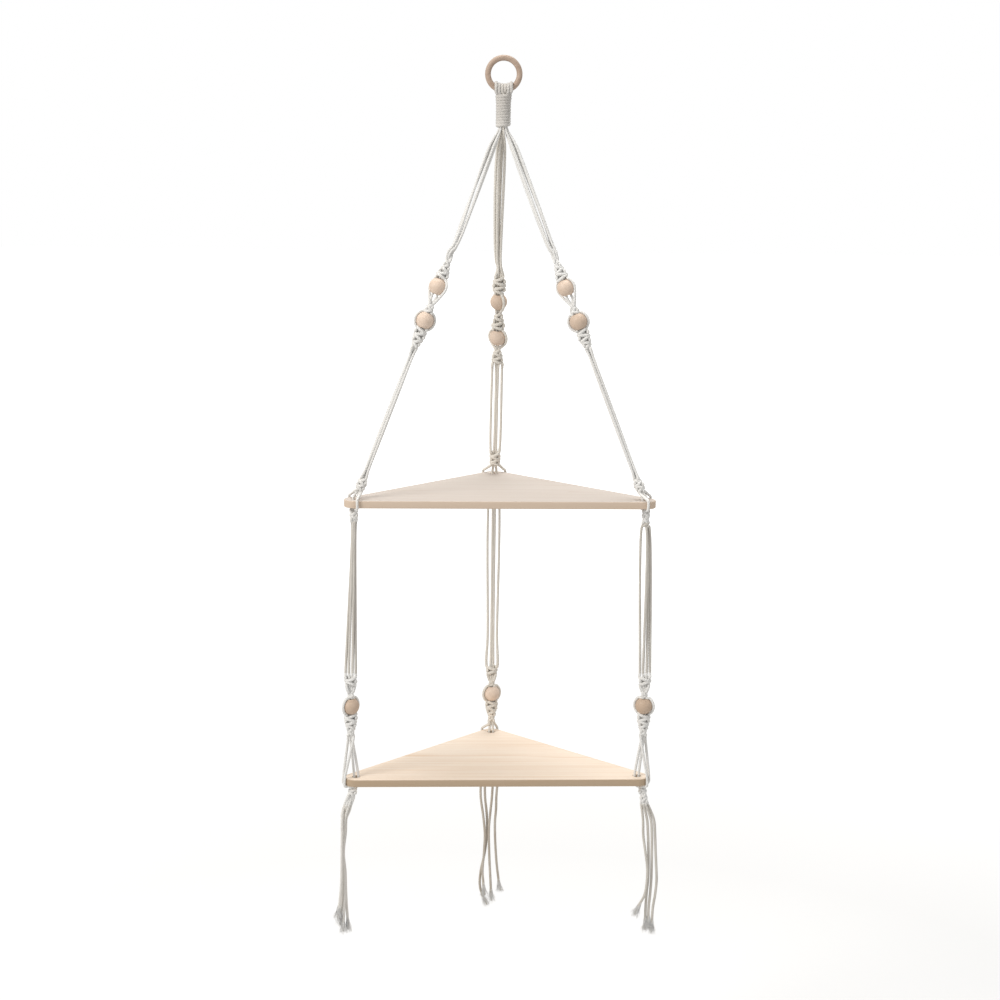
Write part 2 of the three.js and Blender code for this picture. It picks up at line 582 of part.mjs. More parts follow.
// The tassel cords from left to right, as they hang. Each row is a point: sideways and frontwards of the
// tassel's axis as shares of a cord's diameter, and down as a share of the tassel's length.
const TASSEL_SHARES = {
  left: [
    [
      [-1.65, 0, 0],
      [-1.85, 0.8, 0.05],
      [-2, 1.4, 0.11],
      [-2.05, 1.65, 0.22],
      [-2.15, 1.65, 0.38],
      [-2.25, 1.6, 0.53],
      [-2.55, 1.5, 0.65],
      [-3.15, 1.3, 0.77],
      [-3.85, 1.1, 0.86],
    ],
    [
      [-0.55, 0, 0],
      [-1.1, -0.5, 0.05],
      [-1.45, -0.55, 0.11],
      [-1.55, -0.55, 0.22],
      [-1.9, -0.55, 0.38],
      [-1.9, -0.55, 0.53],
      [-2.05, -0.5, 0.65],
      [-2.3, -0.4, 0.77],
      [-2.95, -0.3, 0.93],
    ],
    [
      [0.55, 0, 0],
      [-0.35, 0.5, 0.05],
      [-1.1, 0.55, 0.11],
      [-1.15, 0.55, 0.22],
      [-1.75, 0.55, 0.38],
      [-1.2, 0.55, 0.53],
      [-1.15, 0.5, 0.65],
      [-1.35, 0.4, 0.77],
      [-1.85, 0.3, 0.975],
    ],
    [
      [1.65, 0, 0],
      [0.5, -0.8, 0.05],
      [-0.55, -1.4, 0.11],
      [-0.85, -1.65, 0.22],
      [-1.6, -1.65, 0.38],
      [-1, -1.6, 0.53],
      [-0.85, -1.4, 0.65],
      [-0.6, -1.1, 0.77],
      [0.1, -0.8, 0.97],
    ],
  ],
  right: [
    [
      [-1.65, 0, 0],
      [-1.1, 0.2, 0.12],
      [-0.85, 0.4, 0.24],
      [0, 0.8, 0.36],
      [0.8, 1.1, 0.48],
      [0.85, 1.1, 0.59],
      [0.3, 1.1, 0.7],
      [-1.35, 1.2, 0.78],
      [-2.5, 1.3, 0.85],
    ],
    [
      [-0.55, 0, 0],
      [0.4, -0.1, 0.12],
      [0.95, -0.2, 0.24],
      [1.25, -0.2, 0.36],
      [1.4, -0.2, 0.48],
      [1.4, -0.2, 0.59],
      [1.2, -0.2, 0.7],
      [1.3, -0.1, 0.85],
      [1.6, 0, 0.98],
    ],
    [
      [0.55, 0, 0],
      [1.75, 0.1, 0.12],
      [2.3, 0, 0.24],
      [2.45, 0, 0.36],
      [2.55, 0, 0.48],
      [2.55, 0, 0.59],
      [2.5, 0, 0.7],
      [2.4, 0, 0.82],
      [2.75, 0, 0.97],
    ],
    [
      [1.65, 0, 0],
      [2.85, -0.1, 0.12],
      [3.45, 0, 0.24],
      [3.8, 0, 0.36],
      [4.2, 0, 0.48],
      [4.5, 0, 0.59],
      [4.35, 0, 0.7],
      [3.9, 0, 0.82],
      [3.95, 0, 1],
    ],
  ],
  back: [
    [
      [-1.65, 0, 0],
      [-2.9, 0, 0.1],
      [-3.6, 0, 0.24],
      [-3.6, 0, 0.35],
      [-2.6, 0.1, 0.5],
      [-1.85, 0.2, 0.655],
      [-2.1, 0.3, 0.82],
      [-2.6, 0.3, 0.97],
      [-2.2, 0.3, 1.07],
      [-1.7, 0.3, 1.17],
    ],
    [
      [-0.55, 0, 0],
      [-1.55, -0.1, 0.1],
      [-2, -0.2, 0.24],
      [-1.9, -0.4, 0.35],
      [-1.15, -0.8, 0.5],
      [-0.95, -1.1, 0.655],
      [-1.7, -1.2, 0.82],
      [-3.35, -1, 0.995],
      [-3.4, -0.9, 1.12],
      [-0.8, -0.8, 1.26],
    ],
    [
      [0.55, 0, 0],
      [0.85, 0, 0.1],
      [0.95, 0, 0.24],
      [0.75, 0, 0.35],
      [0.1, 0.1, 0.5],
      [-0.3, 0.2, 0.62],
      [0, 0.2, 0.845],
      [0.6, 0.1, 1.06],
      [1.05, 0, 1.22],
    ],
    [
      [1.65, 0, 0],
      [2.5, 0, 0.1],
      [2.75, 0, 0.24],
      [2.45, 0, 0.35],
      [2.4, 0, 0.45],
      [2.05, 0, 0.56],
      [2.3, 0, 0.745],
      [3.1, 0, 0.945],
      [4.4, 0, 1.135],
    ],
  ],
};

function makeTassel(name, corner) {
  const frame = tasselFrame(corner);
  TASSEL_SHARES[name].forEach((rows, i) => {
    const points = rows.map(([sideways, frontwards, drop]) =>
      frame.at(sideways * CORD, frontwards * CORD, TASSEL_PIVOT_DROP + drop * TASSEL_LENGTH),
    );
    const run = new THREE.CatmullRomCurve3(points).getSpacedPoints(TASSEL_STEPS);
    const stations = run.map((at) => ({ at, radius: CORD / 2 }));
    addMesh(name + "_tassel_cord_" + (i + 1), sweep(stations, TASSEL_SIDES, true), cotton);
  });
}

// A board: a right-angled triangle with its long edge to the front, rounded corners round three cord holes.
function makeBoard(name, drop) {
  const soft = BOARD_EDGE_SOFTENING;
  const outline = new THREE.Shape();
  const radius = BOARD_CORNER_RADIUS;
  outline.absarc(-HOLE_X, HOLE_Y, radius, (3 * Math.PI) / 4, (3 * Math.PI) / 2, false);
  outline.absarc(HOLE_X, HOLE_Y, radius, -Math.PI / 2, Math.PI / 4, false);
  outline.absarc(0, APEX_HOLE_Y, radius, Math.PI / 4, (3 * Math.PI) / 4, false);
  Object.values(corners).forEach((corner) => {
    const hole = new THREE.Path();
    hole.absarc(corner.x, corner.y, BOARD_HOLE / 2, 0, 2 * Math.PI, true);
    outline.holes.push(hole);
  });
  const shape = new THREE.ExtrudeGeometry(outline, {
    depth: BOARD_THICKNESS - 2 * soft,
    bevelEnabled: true,
    bevelThickness: soft,
    bevelSize: soft,
    bevelOffset: -soft,
    bevelSegments: 1,
    curveSegments: BOARD_ARC_STEPS,
  });
  const board = addMesh(name, shape, pine);
  board.position.z = soft - drop - BOARD_THICKNESS;
}

// Neck wrap: one unbroken winding round the twelve legs, with straight ends.
function makeWrap() {
  const radius = NECK_RING_RADIUS + (CORD_IN_NECK + WRAP_CORD) / 2 + CORD_GAP;
  const pitch = WRAP_CORD + WRAP_GAP;
  const stations = [];
  for (let i = 0; i <= WRAP_LOOPS * WRAP_LOOP_STEPS; i++) {
    const turn = i / WRAP_LOOP_STEPS;
    const angle = 2 * Math.PI * turn;
    const drop = WRAP_TOP_DROP + WRAP_CORD / 2 + pitch * turn;
    station(stations, V(radius * Math.sin(angle), radius * Math.cos(angle), -drop), WRAP_CORD);
  }
  const way = V(radius, 0, -pitch / (2 * Math.PI)).setLength(WRAP_CORD);
  stations.unshift({ ...stations[0], at: stations[0].at.clone().sub(way) });
  const last = stations[stations.length - 1];
  stations.push({ ...last, at: last.at.clone().add(way) });
  addMesh("neck_wrap", sweep(stations, WRAP_SIDES), cotton);

  let leastGap = Infinity;
  stations.forEach((one, i) => {
    stations.slice(i + WRAP_LOOP_STEPS / 2).forEach((other) => {
      leastGap = Math.min(leastGap, one.at.distanceTo(other.at) - WRAP_CORD);
    });
  });
  console.log("least gap of the neck wrap to itself: " + leastGap.toFixed(2) + " mm");
}

makeWrap();
for (const [name, corner] of Object.entries(corners)) {
  makeUpperStrand(name, corner);
  makeMiddleStrand(name, corner);
  makeLowerStrand(name, corner);
  makeTassel(name, corner);
}
makeBoard("upper_board", UPPER_BOARD_DROP);
makeBoard("lower_board", LOWER_BOARD_DROP);

export default shelf;
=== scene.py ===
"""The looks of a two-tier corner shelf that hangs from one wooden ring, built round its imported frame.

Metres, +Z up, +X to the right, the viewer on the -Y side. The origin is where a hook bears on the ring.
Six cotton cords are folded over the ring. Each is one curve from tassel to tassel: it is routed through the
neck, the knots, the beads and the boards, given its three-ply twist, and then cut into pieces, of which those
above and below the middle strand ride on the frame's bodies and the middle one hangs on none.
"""

import random
from math import asin, cos, pi, radians, sin, sqrt, tau
from types import SimpleNamespace

import bpy
import numpy as np
from mathutils import Matrix, Vector
from mathutils.geometry import tessellate_polygon


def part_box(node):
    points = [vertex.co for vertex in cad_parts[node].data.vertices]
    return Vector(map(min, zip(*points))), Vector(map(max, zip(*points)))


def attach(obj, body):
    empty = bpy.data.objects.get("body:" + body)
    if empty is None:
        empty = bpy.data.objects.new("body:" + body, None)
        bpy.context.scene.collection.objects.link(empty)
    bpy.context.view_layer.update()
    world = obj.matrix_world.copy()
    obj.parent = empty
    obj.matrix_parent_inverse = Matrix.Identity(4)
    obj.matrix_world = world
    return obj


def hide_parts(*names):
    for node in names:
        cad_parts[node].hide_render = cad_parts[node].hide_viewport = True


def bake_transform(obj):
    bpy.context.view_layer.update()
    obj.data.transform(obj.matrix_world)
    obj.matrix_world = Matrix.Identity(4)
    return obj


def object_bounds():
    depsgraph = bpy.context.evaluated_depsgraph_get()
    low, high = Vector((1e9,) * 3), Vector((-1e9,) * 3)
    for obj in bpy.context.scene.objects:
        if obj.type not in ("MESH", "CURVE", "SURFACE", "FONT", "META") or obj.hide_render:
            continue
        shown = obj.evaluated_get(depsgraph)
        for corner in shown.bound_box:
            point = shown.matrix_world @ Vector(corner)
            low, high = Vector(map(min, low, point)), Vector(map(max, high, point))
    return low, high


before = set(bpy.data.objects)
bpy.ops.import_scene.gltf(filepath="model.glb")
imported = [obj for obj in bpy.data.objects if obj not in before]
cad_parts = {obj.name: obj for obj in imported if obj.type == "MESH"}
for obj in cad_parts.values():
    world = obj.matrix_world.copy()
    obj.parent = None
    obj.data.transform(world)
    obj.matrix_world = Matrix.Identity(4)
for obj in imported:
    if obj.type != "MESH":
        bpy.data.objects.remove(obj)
CAD_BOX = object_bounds()

# Cord, as in the frame's source
CORD = 0.003
CORD_IN_NECK = 0.0021
CORD_GAP = 0.0003
CORD_SPACING = CORD + CORD_GAP
NECK_SPACING = CORD_IN_NECK + CORD_GAP

# How full the cord is drawn where it lies free, in a knot, in the wrap and folded over the ring
FREE_CORD = 0.0031
TIED_CORD = 0.0037
WRAPPED_CORD = 0.0044
WRAP_SINKING = 0.0008
FOLDED_CORD = 0.0037

# Three-ply twist, how sharply the painted shade between the plies gathers in their grooves, and the round
# ends of cut pieces
LAY_LENGTH = 0.0085
PLY_SHARE = 0.76
PLIES = 3
PLY_POINTS = 5
GROOVE_SHARPNESS = 3
DOME_RINGS = 3
DOME_ANGLE = radians(85)

# A cord's even line, and how far along x it starts where its first direction across is y
CORD_STEP = 0.0009
LINE_SAMPLES = 3
NEARLY_ALONG_X = 0.7

# Ring
RING_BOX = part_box("hanging_ring")
RING_SECTION = RING_BOX[1].y - RING_BOX[0].y
RING_MEAN_RADIUS = (RING_BOX[1].z - RING_BOX[0].z - RING_SECTION) / 2
RING_CENTRE = (RING_BOX[0] + RING_BOX[1]) / 2
RING_STEPS = 128
RING_SIDES = 32
RING_GRAIN_LEAN = radians(32)
RING_HEART = Vector((0.2, 0.016, 0.021))

# Folds, funnel and neck
FOLD_CLEARANCE = 0.0007
FOLD_ARCS = 8
FOLD_SPACING = 0.0031
FOLD_LOWERING_SHARE = 0.35
FUNNEL_TOP = -0.0295
WRAP_TOP = -0.0325
NECK_TOP = -0.042
NECK_TOP_SHARES = (1.4, 1.15)
NECK_EXIT = -0.066
NECK_EXIT_OUTSET = 0.0034
NECK_GATHER_LENGTH = 0.022
NECK_INNER_OFFSET = 0.0005
NECK_INNER_HALF = (NECK_SPACING + CORD_GAP / 3) / 2
NECK_ROUND = 10
NECK_ROUND_RADIUS = NECK_SPACING / (2 * sin(pi / NECK_ROUND)) + CORD_GAP / 10
NECK_ROUND_PLACES = {-2.5: -2, -1.5: -1, -0.5: 0, 1.5: 1, 2.5: 2}
WRAP_CORD = 0.0024
WRAP_PITCH = 0.00285
WRAP_LOOPS = 11
WRAP_FLARE = 0.0008
WRAP_FLARE_LOOPS = 3
WRAP_LOOP_STEPS = 24

# Square knots
KNOT_HALF_WIDTH = 0.0046
KNOT_DEPTH = 0.0031
KNOT_TURN_FRONT = 0.0004
KNOT_TURN_BACK = 0.0016
KNOT_SHOULDER_SHARE = 0.52
KNOT_LEAN = 0.0010
KNOT_TURN_HALF = 0.0007
KNOT_CORE_SHARE = 0.34
KNOT_LOOSENESS = 0.0003
KNOT_EASING = 0.003
KNOT_SPREAD = 0.009

# Each knot's length, then its half widths to the middle of the cords, one at each turn of the working cords
WIDENING_KNOT = (0.0195, (0.0018, 0.0024, 0.0036, 0.0046, 0.0054, 0.0058))
WAIST_KNOT = (0.0092, (0.0018, 0.0024, 0.0032, 0.0036))
NARROWING_KNOT = (0.0205, (0.0052, 0.0055, 0.0052, 0.0043, 0.0032, 0.0023))
BARREL_KNOT = (0.0195, (0.0042, 0.0056, 0.0060, 0.0055, 0.0042))
FLARED_KNOT = (0.0205, (0.0024, 0.0034, 0.0047, 0.0056, 0.0055))
RISING_KNOT = (0.0165, (0.0019, 0.0030, 0.0042, 0.0049, 0.0050))
BOARD_KNOT = (0.0125, (0.0024, 0.0034, 0.0040, 0.0036, 0.0026))
APEX_KNOT = (0.0138, (0.0042, 0.0046, 0.0046, 0.0044, 0.0040))
SMALL_KNOT = (0.0080, (0.0028, 0.0031, 0.0026))
DOUBLE_KNOT = (0.0142, (0.0026, 0.0029, 0.0017, 0.0028, 0.0026))
GATHERING_KNOT = (0.0078, (0.0054, 0.0052, 0.0044))
NECKED_KNOT = (0.0062, (0.0019, 0.0018, 0.0024))
LOWER_KNOT = (0.0232, (0.0054, 0.0056, 0.0052, 0.0043, 0.0033, 0.0022, 0.0026))
FUNNEL_LENGTH = 0.0228

# Beads
BEAD_DIAMETER = 0.0182
BEAD_BORE = 0.0066
BEAD_GAP = 0.0004
BEAD_SEAT = BEAD_GAP + sqrt(BEAD_DIAMETER**2 - BEAD_BORE**2) / 2
BEAD_PASS_ANGLE = 57
BEAD_PASS_ARCS = 6
INNER_SPREAD = 0.0024
INNER_SPREAD_DROP = 0.0030
BEAD_SIDES = 48
BEAD_ARCS = 28
BORE_SOFTENING = 0.0007
MOUTH_SHARES = (0.3, 0.25)
BEAD_TILTS = (0.9, 1.5)
BEAD_HEARTS = ((0, 0.5), (0.012, 0.03), (0.01, 0.03))

# Boards, read from the frame where it gives them
UPPER_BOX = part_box("upper_board")
LOWER_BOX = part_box("lower_board")
BOARD_CORNER_RADIUS = 0.012
BOARD_HOLE = 0.008
BOARD_EDGE = 0.0009
BOARD_EDGE_ARCS = 4
BOARD_ARC_STEPS = 20
HOLE_STEPS = 32
UPPER_HEART = Vector((0.31, 0.012, -0.500))
LOWER_HEART = Vector((-0.27, 0.034, -0.800))
TIP_ANGLE = pi / 8
HOLE_X = UPPER_BOX[1].x - BOARD_CORNER_RADIUS
HOLE_Y = UPPER_BOX[0].y + BOARD_CORNER_RADIUS
APEX_HOLE_Y = UPPER_BOX[1].y - BOARD_CORNER_RADIUS

# The cords at the boards' corners, and the strands and tassels under them
EDGE_CLEARANCE = 0.0003
ROUND_CORNER_RADIUS = BOARD_CORNER_RADIUS + CORD / 2
UNDER_SHARE = 0.45
APPROACH_SHARE = 0.3
EDGE_SINKING = CORD / 6
CORNER_KNOT_HEIGHT = 0.014
CORNER_KNOT_INSET = 0.006
UNDER_BOARD_DROP = 0.0052
PIVOT_DROP = 0.020
TASSEL_PIVOT_DROP = 0.023
STRAND_LENGTH = 0.160
STRAND_SPREAD = 0.0037
UPPER_STRAND_OUTSET = 0.002
TASSEL_OUTSET = 0.0096
TASSEL_LENGTH = 0.147

# Where the cords pass from one body to the next
UPPER_PIVOT = UPPER_BOX[0].z - PIVOT_DROP
LOWER_PIVOT = UPPER_PIVOT - STRAND_LENGTH
KNOT_EXIT = 0.0045

# Places of cords beside each other, as shares of their spacing: sideways, then frontwards
BACK_SHARES = ((0.33, 0), (1.6, 0))
TASSEL_TOP_SHARES = ((0.4, 0.35), (1.05, -0.35))
SIDE_START_SHARES = ((0.85, 0.25), (0.35, -0.45), (-0.35, 0.45), (-0.85, -0.25))
LEFT_LATE_SHARES = ((0.15, 0.5), (0.1, -0.5), (-0.8, 0.5), (-0.85, -0.5))
SIDE_END_SHARES = ((1, 0.4), (-0.5, -0.9), (0.25, 0.5), (-0.45, -0.2))

# Each corner's strand. columns are its outer and inner legs' in the neck, and bead_tones run from light to
# dark. In degrees: turns, by which the outer legs pass the beads frontwards, leave_angles, where they leave
# the upper two, and upper and lower, the way round a board's corner to where they go down. leaving,
# over_board, hanging and standing say how the legs lie beside each other, and end_side is the front leg's
# side under a board
SIDE_STRAND = dict(
    arc_half=3 * TIP_ANGLE, beads=(0.1751, 0.2124), lower_bead=0.0358, leave_angles=(20, BEAD_PASS_ANGLE),
    knots=(WIDENING_KNOT, WAIST_KNOT, NARROWING_KNOT), last_gap=0, board_knot=BOARD_KNOT, lowering=0.0052,
    over_board=((0.42, -0.48), (0.5, 0.48)), standing=((0.55, 0), (1.62, 0)),
)
CORNERS = {
    "left": SimpleNamespace(
        **SIDE_STRAND, side=-1, hole=(-HOLE_X, HOLE_Y), out=pi + TIP_ANGLE, columns=(-2.5, -1.5),
        leaving=(SIDE_START_SHARES, LEFT_LATE_SHARES, SIDE_END_SHARES),
        bead_tones=(0.1, 0, 0.6), turns=(38, 8, -42), upper=(76, 84), lower=(8, 32),
        under_knot=SMALL_KNOT, tassel_knot=0.0012, hanging=((0.22, 0.5), (0.55, -0.45)), end_side=1,
    ),
    "right": SimpleNamespace(
        **SIDE_STRAND, side=1, hole=(HOLE_X, HOLE_Y), out=-TIP_ANGLE, columns=(2.5, 1.5),
        leaving=(SIDE_START_SHARES, SIDE_START_SHARES, SIDE_END_SHARES),
        bead_tones=(0.15, 0.5, 0.75), turns=(-32, 10, -22), upper=(58, 79), lower=(20, 34),
        under_knot=DOUBLE_KNOT, tassel_knot=0.0056,
        hanging=((0.1, 0.4), (0.6, -0.4), (-1.1, 0), (1.1, 0.2)), end_side=-1,
    ),
    "back": SimpleNamespace(
        side=0, hole=(0, APEX_HOLE_Y), out=pi / 2, arc_half=2 * TIP_ANGLE, columns=(-0.5, 0.5),
        leaving=(
            ((0.7, 0.35), (-1.6, -0.3), (-0.1, -0.3), (-0.85, 0.35)),
            ((0.25, 0.42), (-1.25, -0.42), (-0.25, -0.42), (-0.75, 0.42)),
            ((0.6, 0.6), (-0.6, -0.6), (0.42, -0.3), (-0.42, 0.3)),
        ),
        beads=(0.1899, 0.2307), lower_bead=0.0691, bead_tones=(0.35, 0.15, 0), turns=(62, 32, 25),
        leave_angles=(BEAD_PASS_ANGLE, 38), knots=(BARREL_KNOT, FLARED_KNOT, RISING_KNOT), last_gap=0.0042,
        board_knot=APEX_KNOT, lowering=0.0034, upper=(60, 60), lower=(47, 32),
        under_knot=SMALL_KNOT, tassel_knot=0.0012,
        over_board=BACK_SHARES, hanging=BACK_SHARES, standing=BACK_SHARES, end_side=-1,
    ),
}

# The tassel cords from left to right, as they hang: sideways and frontwards of the tassel's axis as shares of
# the cord, and down as a share of the tassel's length. All start from the same four tops
TASSEL_TOPS = ((-1.15, -0.39, 0), (-0.44, 0.39, 0), (0.44, 0.39, 0), (1.15, -0.39, 0))
TASSEL_SHARES = {
    "left": (
        ((-1.85, 0.8, 0.05), (-2, 1.4, 0.11), (-2.05, 1.65, 0.22), (-2.15, 1.65, 0.38),
         (-2.25, 1.6, 0.53), (-2.55, 1.5, 0.65), (-3.15, 1.3, 0.77), (-3.85, 1.1, 0.86)),
        ((-1.1, -0.5, 0.05), (-1.45, -0.55, 0.11), (-1.55, -0.55, 0.22), (-1.9, -0.55, 0.38),
         (-1.9, -0.55, 0.53), (-2.05, -0.5, 0.65), (-2.3, -0.4, 0.77), (-2.95, -0.3, 0.93)),
        ((-0.35, 0.5, 0.05), (-1.1, 0.55, 0.11), (-1.15, 0.55, 0.22), (-1.75, 0.55, 0.38),
         (-1.2, 0.55, 0.53), (-1.15, 0.5, 0.65), (-1.35, 0.4, 0.77), (-1.85, 0.3, 0.975)),
        ((0.5, -0.8, 0.05), (-0.55, -1.4, 0.11), (-0.85, -1.65, 0.22), (-1.6, -1.65, 0.38),
         (-1, -1.6, 0.53), (-0.85, -1.4, 0.65), (-0.6, -1.1, 0.77), (0.1, -0.8, 0.97)),
    ),
    "right": (
        ((-0.4, 0.2, 0.12), (-0.15, 0.4, 0.24), (0.7, 0.8, 0.36), (1.5, 1.1, 0.48), (1.55, 1.1, 0.59),
         (0.8, 1.1, 0.7), (-1.15, 1.2, 0.78), (-2.5, 1.3, 0.85)),
        ((1.1, -0.1, 0.12), (1.65, -0.2, 0.24), (1.95, -0.2, 0.36), (2.1, -0.2, 0.48), (2.1, -0.2, 0.59),
         (1.7, -0.2, 0.7), (1.5, -0.1, 0.85), (1.6, 0, 0.98)),
        ((2.45, 0.1, 0.12), (3, 0, 0.24), (3.15, 0, 0.36), (3.25, 0, 0.48), (3.25, 0, 0.59), (3, 0, 0.7),
         (2.6, 0, 0.82), (2.75, 0, 0.97)),
        ((3.55, -0.1, 0.12), (4.15, 0, 0.24), (4.5, 0, 0.36), (4.9, 0, 0.48), (5.2, 0, 0.59),
         (4.85, 0, 0.7), (4.1, 0, 0.82), (3.95, 0, 1)),
    ),
    "back": (
        ((-2.9, 0, 0.1), (-3.6, 0, 0.24), (-3.6, 0, 0.35), (-2.6, 0.1, 0.5), (-1.85, 0.2, 0.655),
         (-2.1, 0.3, 0.82), (-2.6, 0.3, 0.97), (-2.2, 0.3, 1.07), (-1.7, 0.3, 1.17)),
        ((-1.55, -0.1, 0.1), (-2, -0.2, 0.24), (-1.9, -0.4, 0.35), (-1.15, -0.8, 0.5),
         (-0.95, -1.1, 0.655), (-1.7, -1.2, 0.82), (-3.35, -1, 0.995), (-3.4, -0.9, 1.12),
         (-0.8, -0.8, 1.26)),
        ((0.85, 0, 0.1), (0.95, 0, 0.24), (0.75, 0, 0.35), (0.1, 0.1, 0.5), (-0.3, 0.2, 0.62),
         (0, 0.2, 0.845), (0.6, 0.1, 1.06), (1.05, 0, 1.22)),
        ((2.5, 0, 0.1), (2.75, 0, 0.24), (2.45, 0, 0.35), (2.4, 0, 0.45), (2.05, 0, 0.56),
         (2.3, 0, 0.745), (3.1, 0, 0.945), (4.4, 0, 1.135)),
    ),
}
TASSEL_PHASES = (0, 6)
TASSEL_TAPER = ((0, 0.7), (0.55, 1))

# Frayed ends
FRAY_LENGTH = 0.018
FRAY_FIBRES = 90
FRAY_POINTS = 7
FRAY_SIDES = 3
FRAY_ROOT = 0.28 * CORD
FRAY_SPREAD = 0.0060
FRAY_CROWDING = 0.7
FRAY_LENGTHS = (0.72, 1.08)
FRAY_LATEST = 0.25
FRAY_OPENING = 1.6
FRAY_CURL = CORD / 4
FRAY_SWING = 1.5 * pi
FRAY_FIBRE = 0.00042
FRAY_THINNING = 0.45

# Cotton: noise scales along and round the cord or in the room, and tints with the share of the way to each
FIBRE_SCALES = (260.0, 2600.0, 0.0)
SLUB_SCALES = (45.0, 300.0, 0.0)
BLOTCH_SCALES = (9.0, 9.0, 9.0)
SLUB_TINT = ((250, 247, 240), 0.35)
BLOTCH_TINT = ((228, 223, 216), 0.3)
# Painted shade over the folds, the funnel and the neck
NECK_SHADE_TINT = ((204, 199, 193), 0.7)
# Painted shade between the plies
GROOVE_SHADE_TINT = ((186, 180, 172), 0.25)

# Wood: noise scales along and across the log, the year rings' wandering, and how strong the clouds are, and
# the painted shade on the boards' edges and the darkening of the darker beads
DRIFT_SCALES = (3.0, 22.0, 22.0)
FIBRE_WOOD_SCALES = (40.0, 2400.0, 2400.0)
STREAK_SCALES = (5.0, 260.0, 260.0)
FLECK_SCALES = (90.0, 1700.0, 1700.0)
CLOUD_SCALES = (6.0, 14.0, 14.0)
RING_WANDERING = 4.5
RING_SHARPNESS = 5.0
FLECK_THRESHOLD = 0.68
CLOUD_SHARE = 0.18
EDGE_SHADE_AND_BEAD_DARKENING = 0.85

# Camera: two metres off, a little above the boards, looking down
CAMERA_DISTANCE = 2.0
CAMERA_SIDE = 0.0018
CAMERA_HEIGHT = -0.0532
CAMERA_PITCH = radians(11.4)
CAMERA_YAW = radians(2.74)
CAMERA_ROLL = radians(0.75)
CAMERA_LENS = 68.87
CAMERA_SENSOR = 36.0

# Studio: the lamps' names, places, sizes, powers and colours
FLOOR_HEIGHT = -1.25
FLOOR_WIDTH = 30.0
FLOOR_COLOUR = (225, 225, 225)
FLOOR_GLOW = 0.3
FLOOR_NEAR = 1.6
FLOOR_FAR = 3.5
WHITE = (1, 1, 1, 1)
WORLD_COLOUR = (1, 0.99, 0.97, 1)
WORLD_LIGHT = 0.5
LAMPS = (
    ("key", (-1.75, -1.2, 0.9), 1.1, 36.0, (1, 0.98, 0.95)),
    ("fill", (1.7, -1.4, 0.0), 1.6, 5.0, (0.96, 0.98, 1)),
    ("top", (0.2, 0.3, 1.5), 1.2, 22.0, (1, 0.99, 0.97)),
)

SEED = 11


# Materials


class Nodes:
    """Builds a node tree with short calls."""

    def __init__(self, owner):
        owner.use_nodes = True
        self.tree = owner.node_tree
        self.tree.nodes.clear()

    def add(self, kind, inputs=None, **settings):
        node = self.tree.nodes.new(kind)
        for key, value in settings.items():
            setattr(node, key, value)
        for key, value in (inputs or {}).items():
            if isinstance(value, bpy.types.NodeSocket):
                self.tree.links.new(value, node.inputs[key])
            else:
                node.inputs[key].default_value = value
        return node

    def attribute(self, name, output="Fac"):
        return self.add("ShaderNodeAttribute", attribute_name=name).outputs[output]

    def math(self, operation, a, b=0.0, c=0.0):
        return self.add("ShaderNodeMath", {0: a, 1: b, 2: c}, operation=operation).outputs[0]

    def stretched(self, vector, scales):
        return self.add("ShaderNodeVectorMath", {0: vector, 1: scales}, operation="MULTIPLY").outputs[0]

    def noise(self, vector, scales, detail=2.0, roughness=0.5):
        place = self.stretched(vector, scales)
        inputs = {"Vector": place, "Scale": 1.0, "Detail": detail, "Roughness": roughness}
        return self.add("ShaderNodeTexNoise", inputs).outputs["Fac"]

    def spread(self, value, low, high):
        inputs = {"Value": value, "From Min": low, "From Max": high}
        return self.add("ShaderNodeMapRange", inputs).outputs[0]

    def mix(self, factor, a, b):
        return self.add("ShaderNodeMix", {0: factor, 6: a, 7: b}, data_type="RGBA").outputs[2]

    def tint(self, colour, where, tint):
        """The colour, taken towards the tint's own where the value says, by the tint's share of the way."""
        target, share = tint
        return self.mix(self.math("MULTIPLY", where, share), colour, linear(target))

    def surface(self, colour, roughness, height, strength, distance, specular, sheen=0.0):
        bump = self.add("ShaderNodeBump", {"Height": height, "Strength": strength, "Distance": distance})
        inputs = {"Base Color": colour, "Roughness": roughness, "Normal": bump.outputs[0]}
        inputs |= {"Specular IOR Level": specular, "Sheen Weight": sheen}
        shader = self.add("ShaderNodeBsdfPrincipled", inputs)
        self.add("ShaderNodeOutputMaterial", {"Surface": shader.outputs[0]})

    def mix_shader(self, factor, a, b):
        return self.add("ShaderNodeMixShader", {0: factor, 1: a.outputs[0], 2: b.outputs[0]}).outputs[0]


def linear(colour):
    """A colour in sRGB steps of 255, as the linear colour that a shader takes."""
    values = [step / 255 for step in colour]
    return (*[v / 12.92 if v < 0.04045 else ((v + 0.055) / 1.055) ** 2.4 for v in values], 1.0)


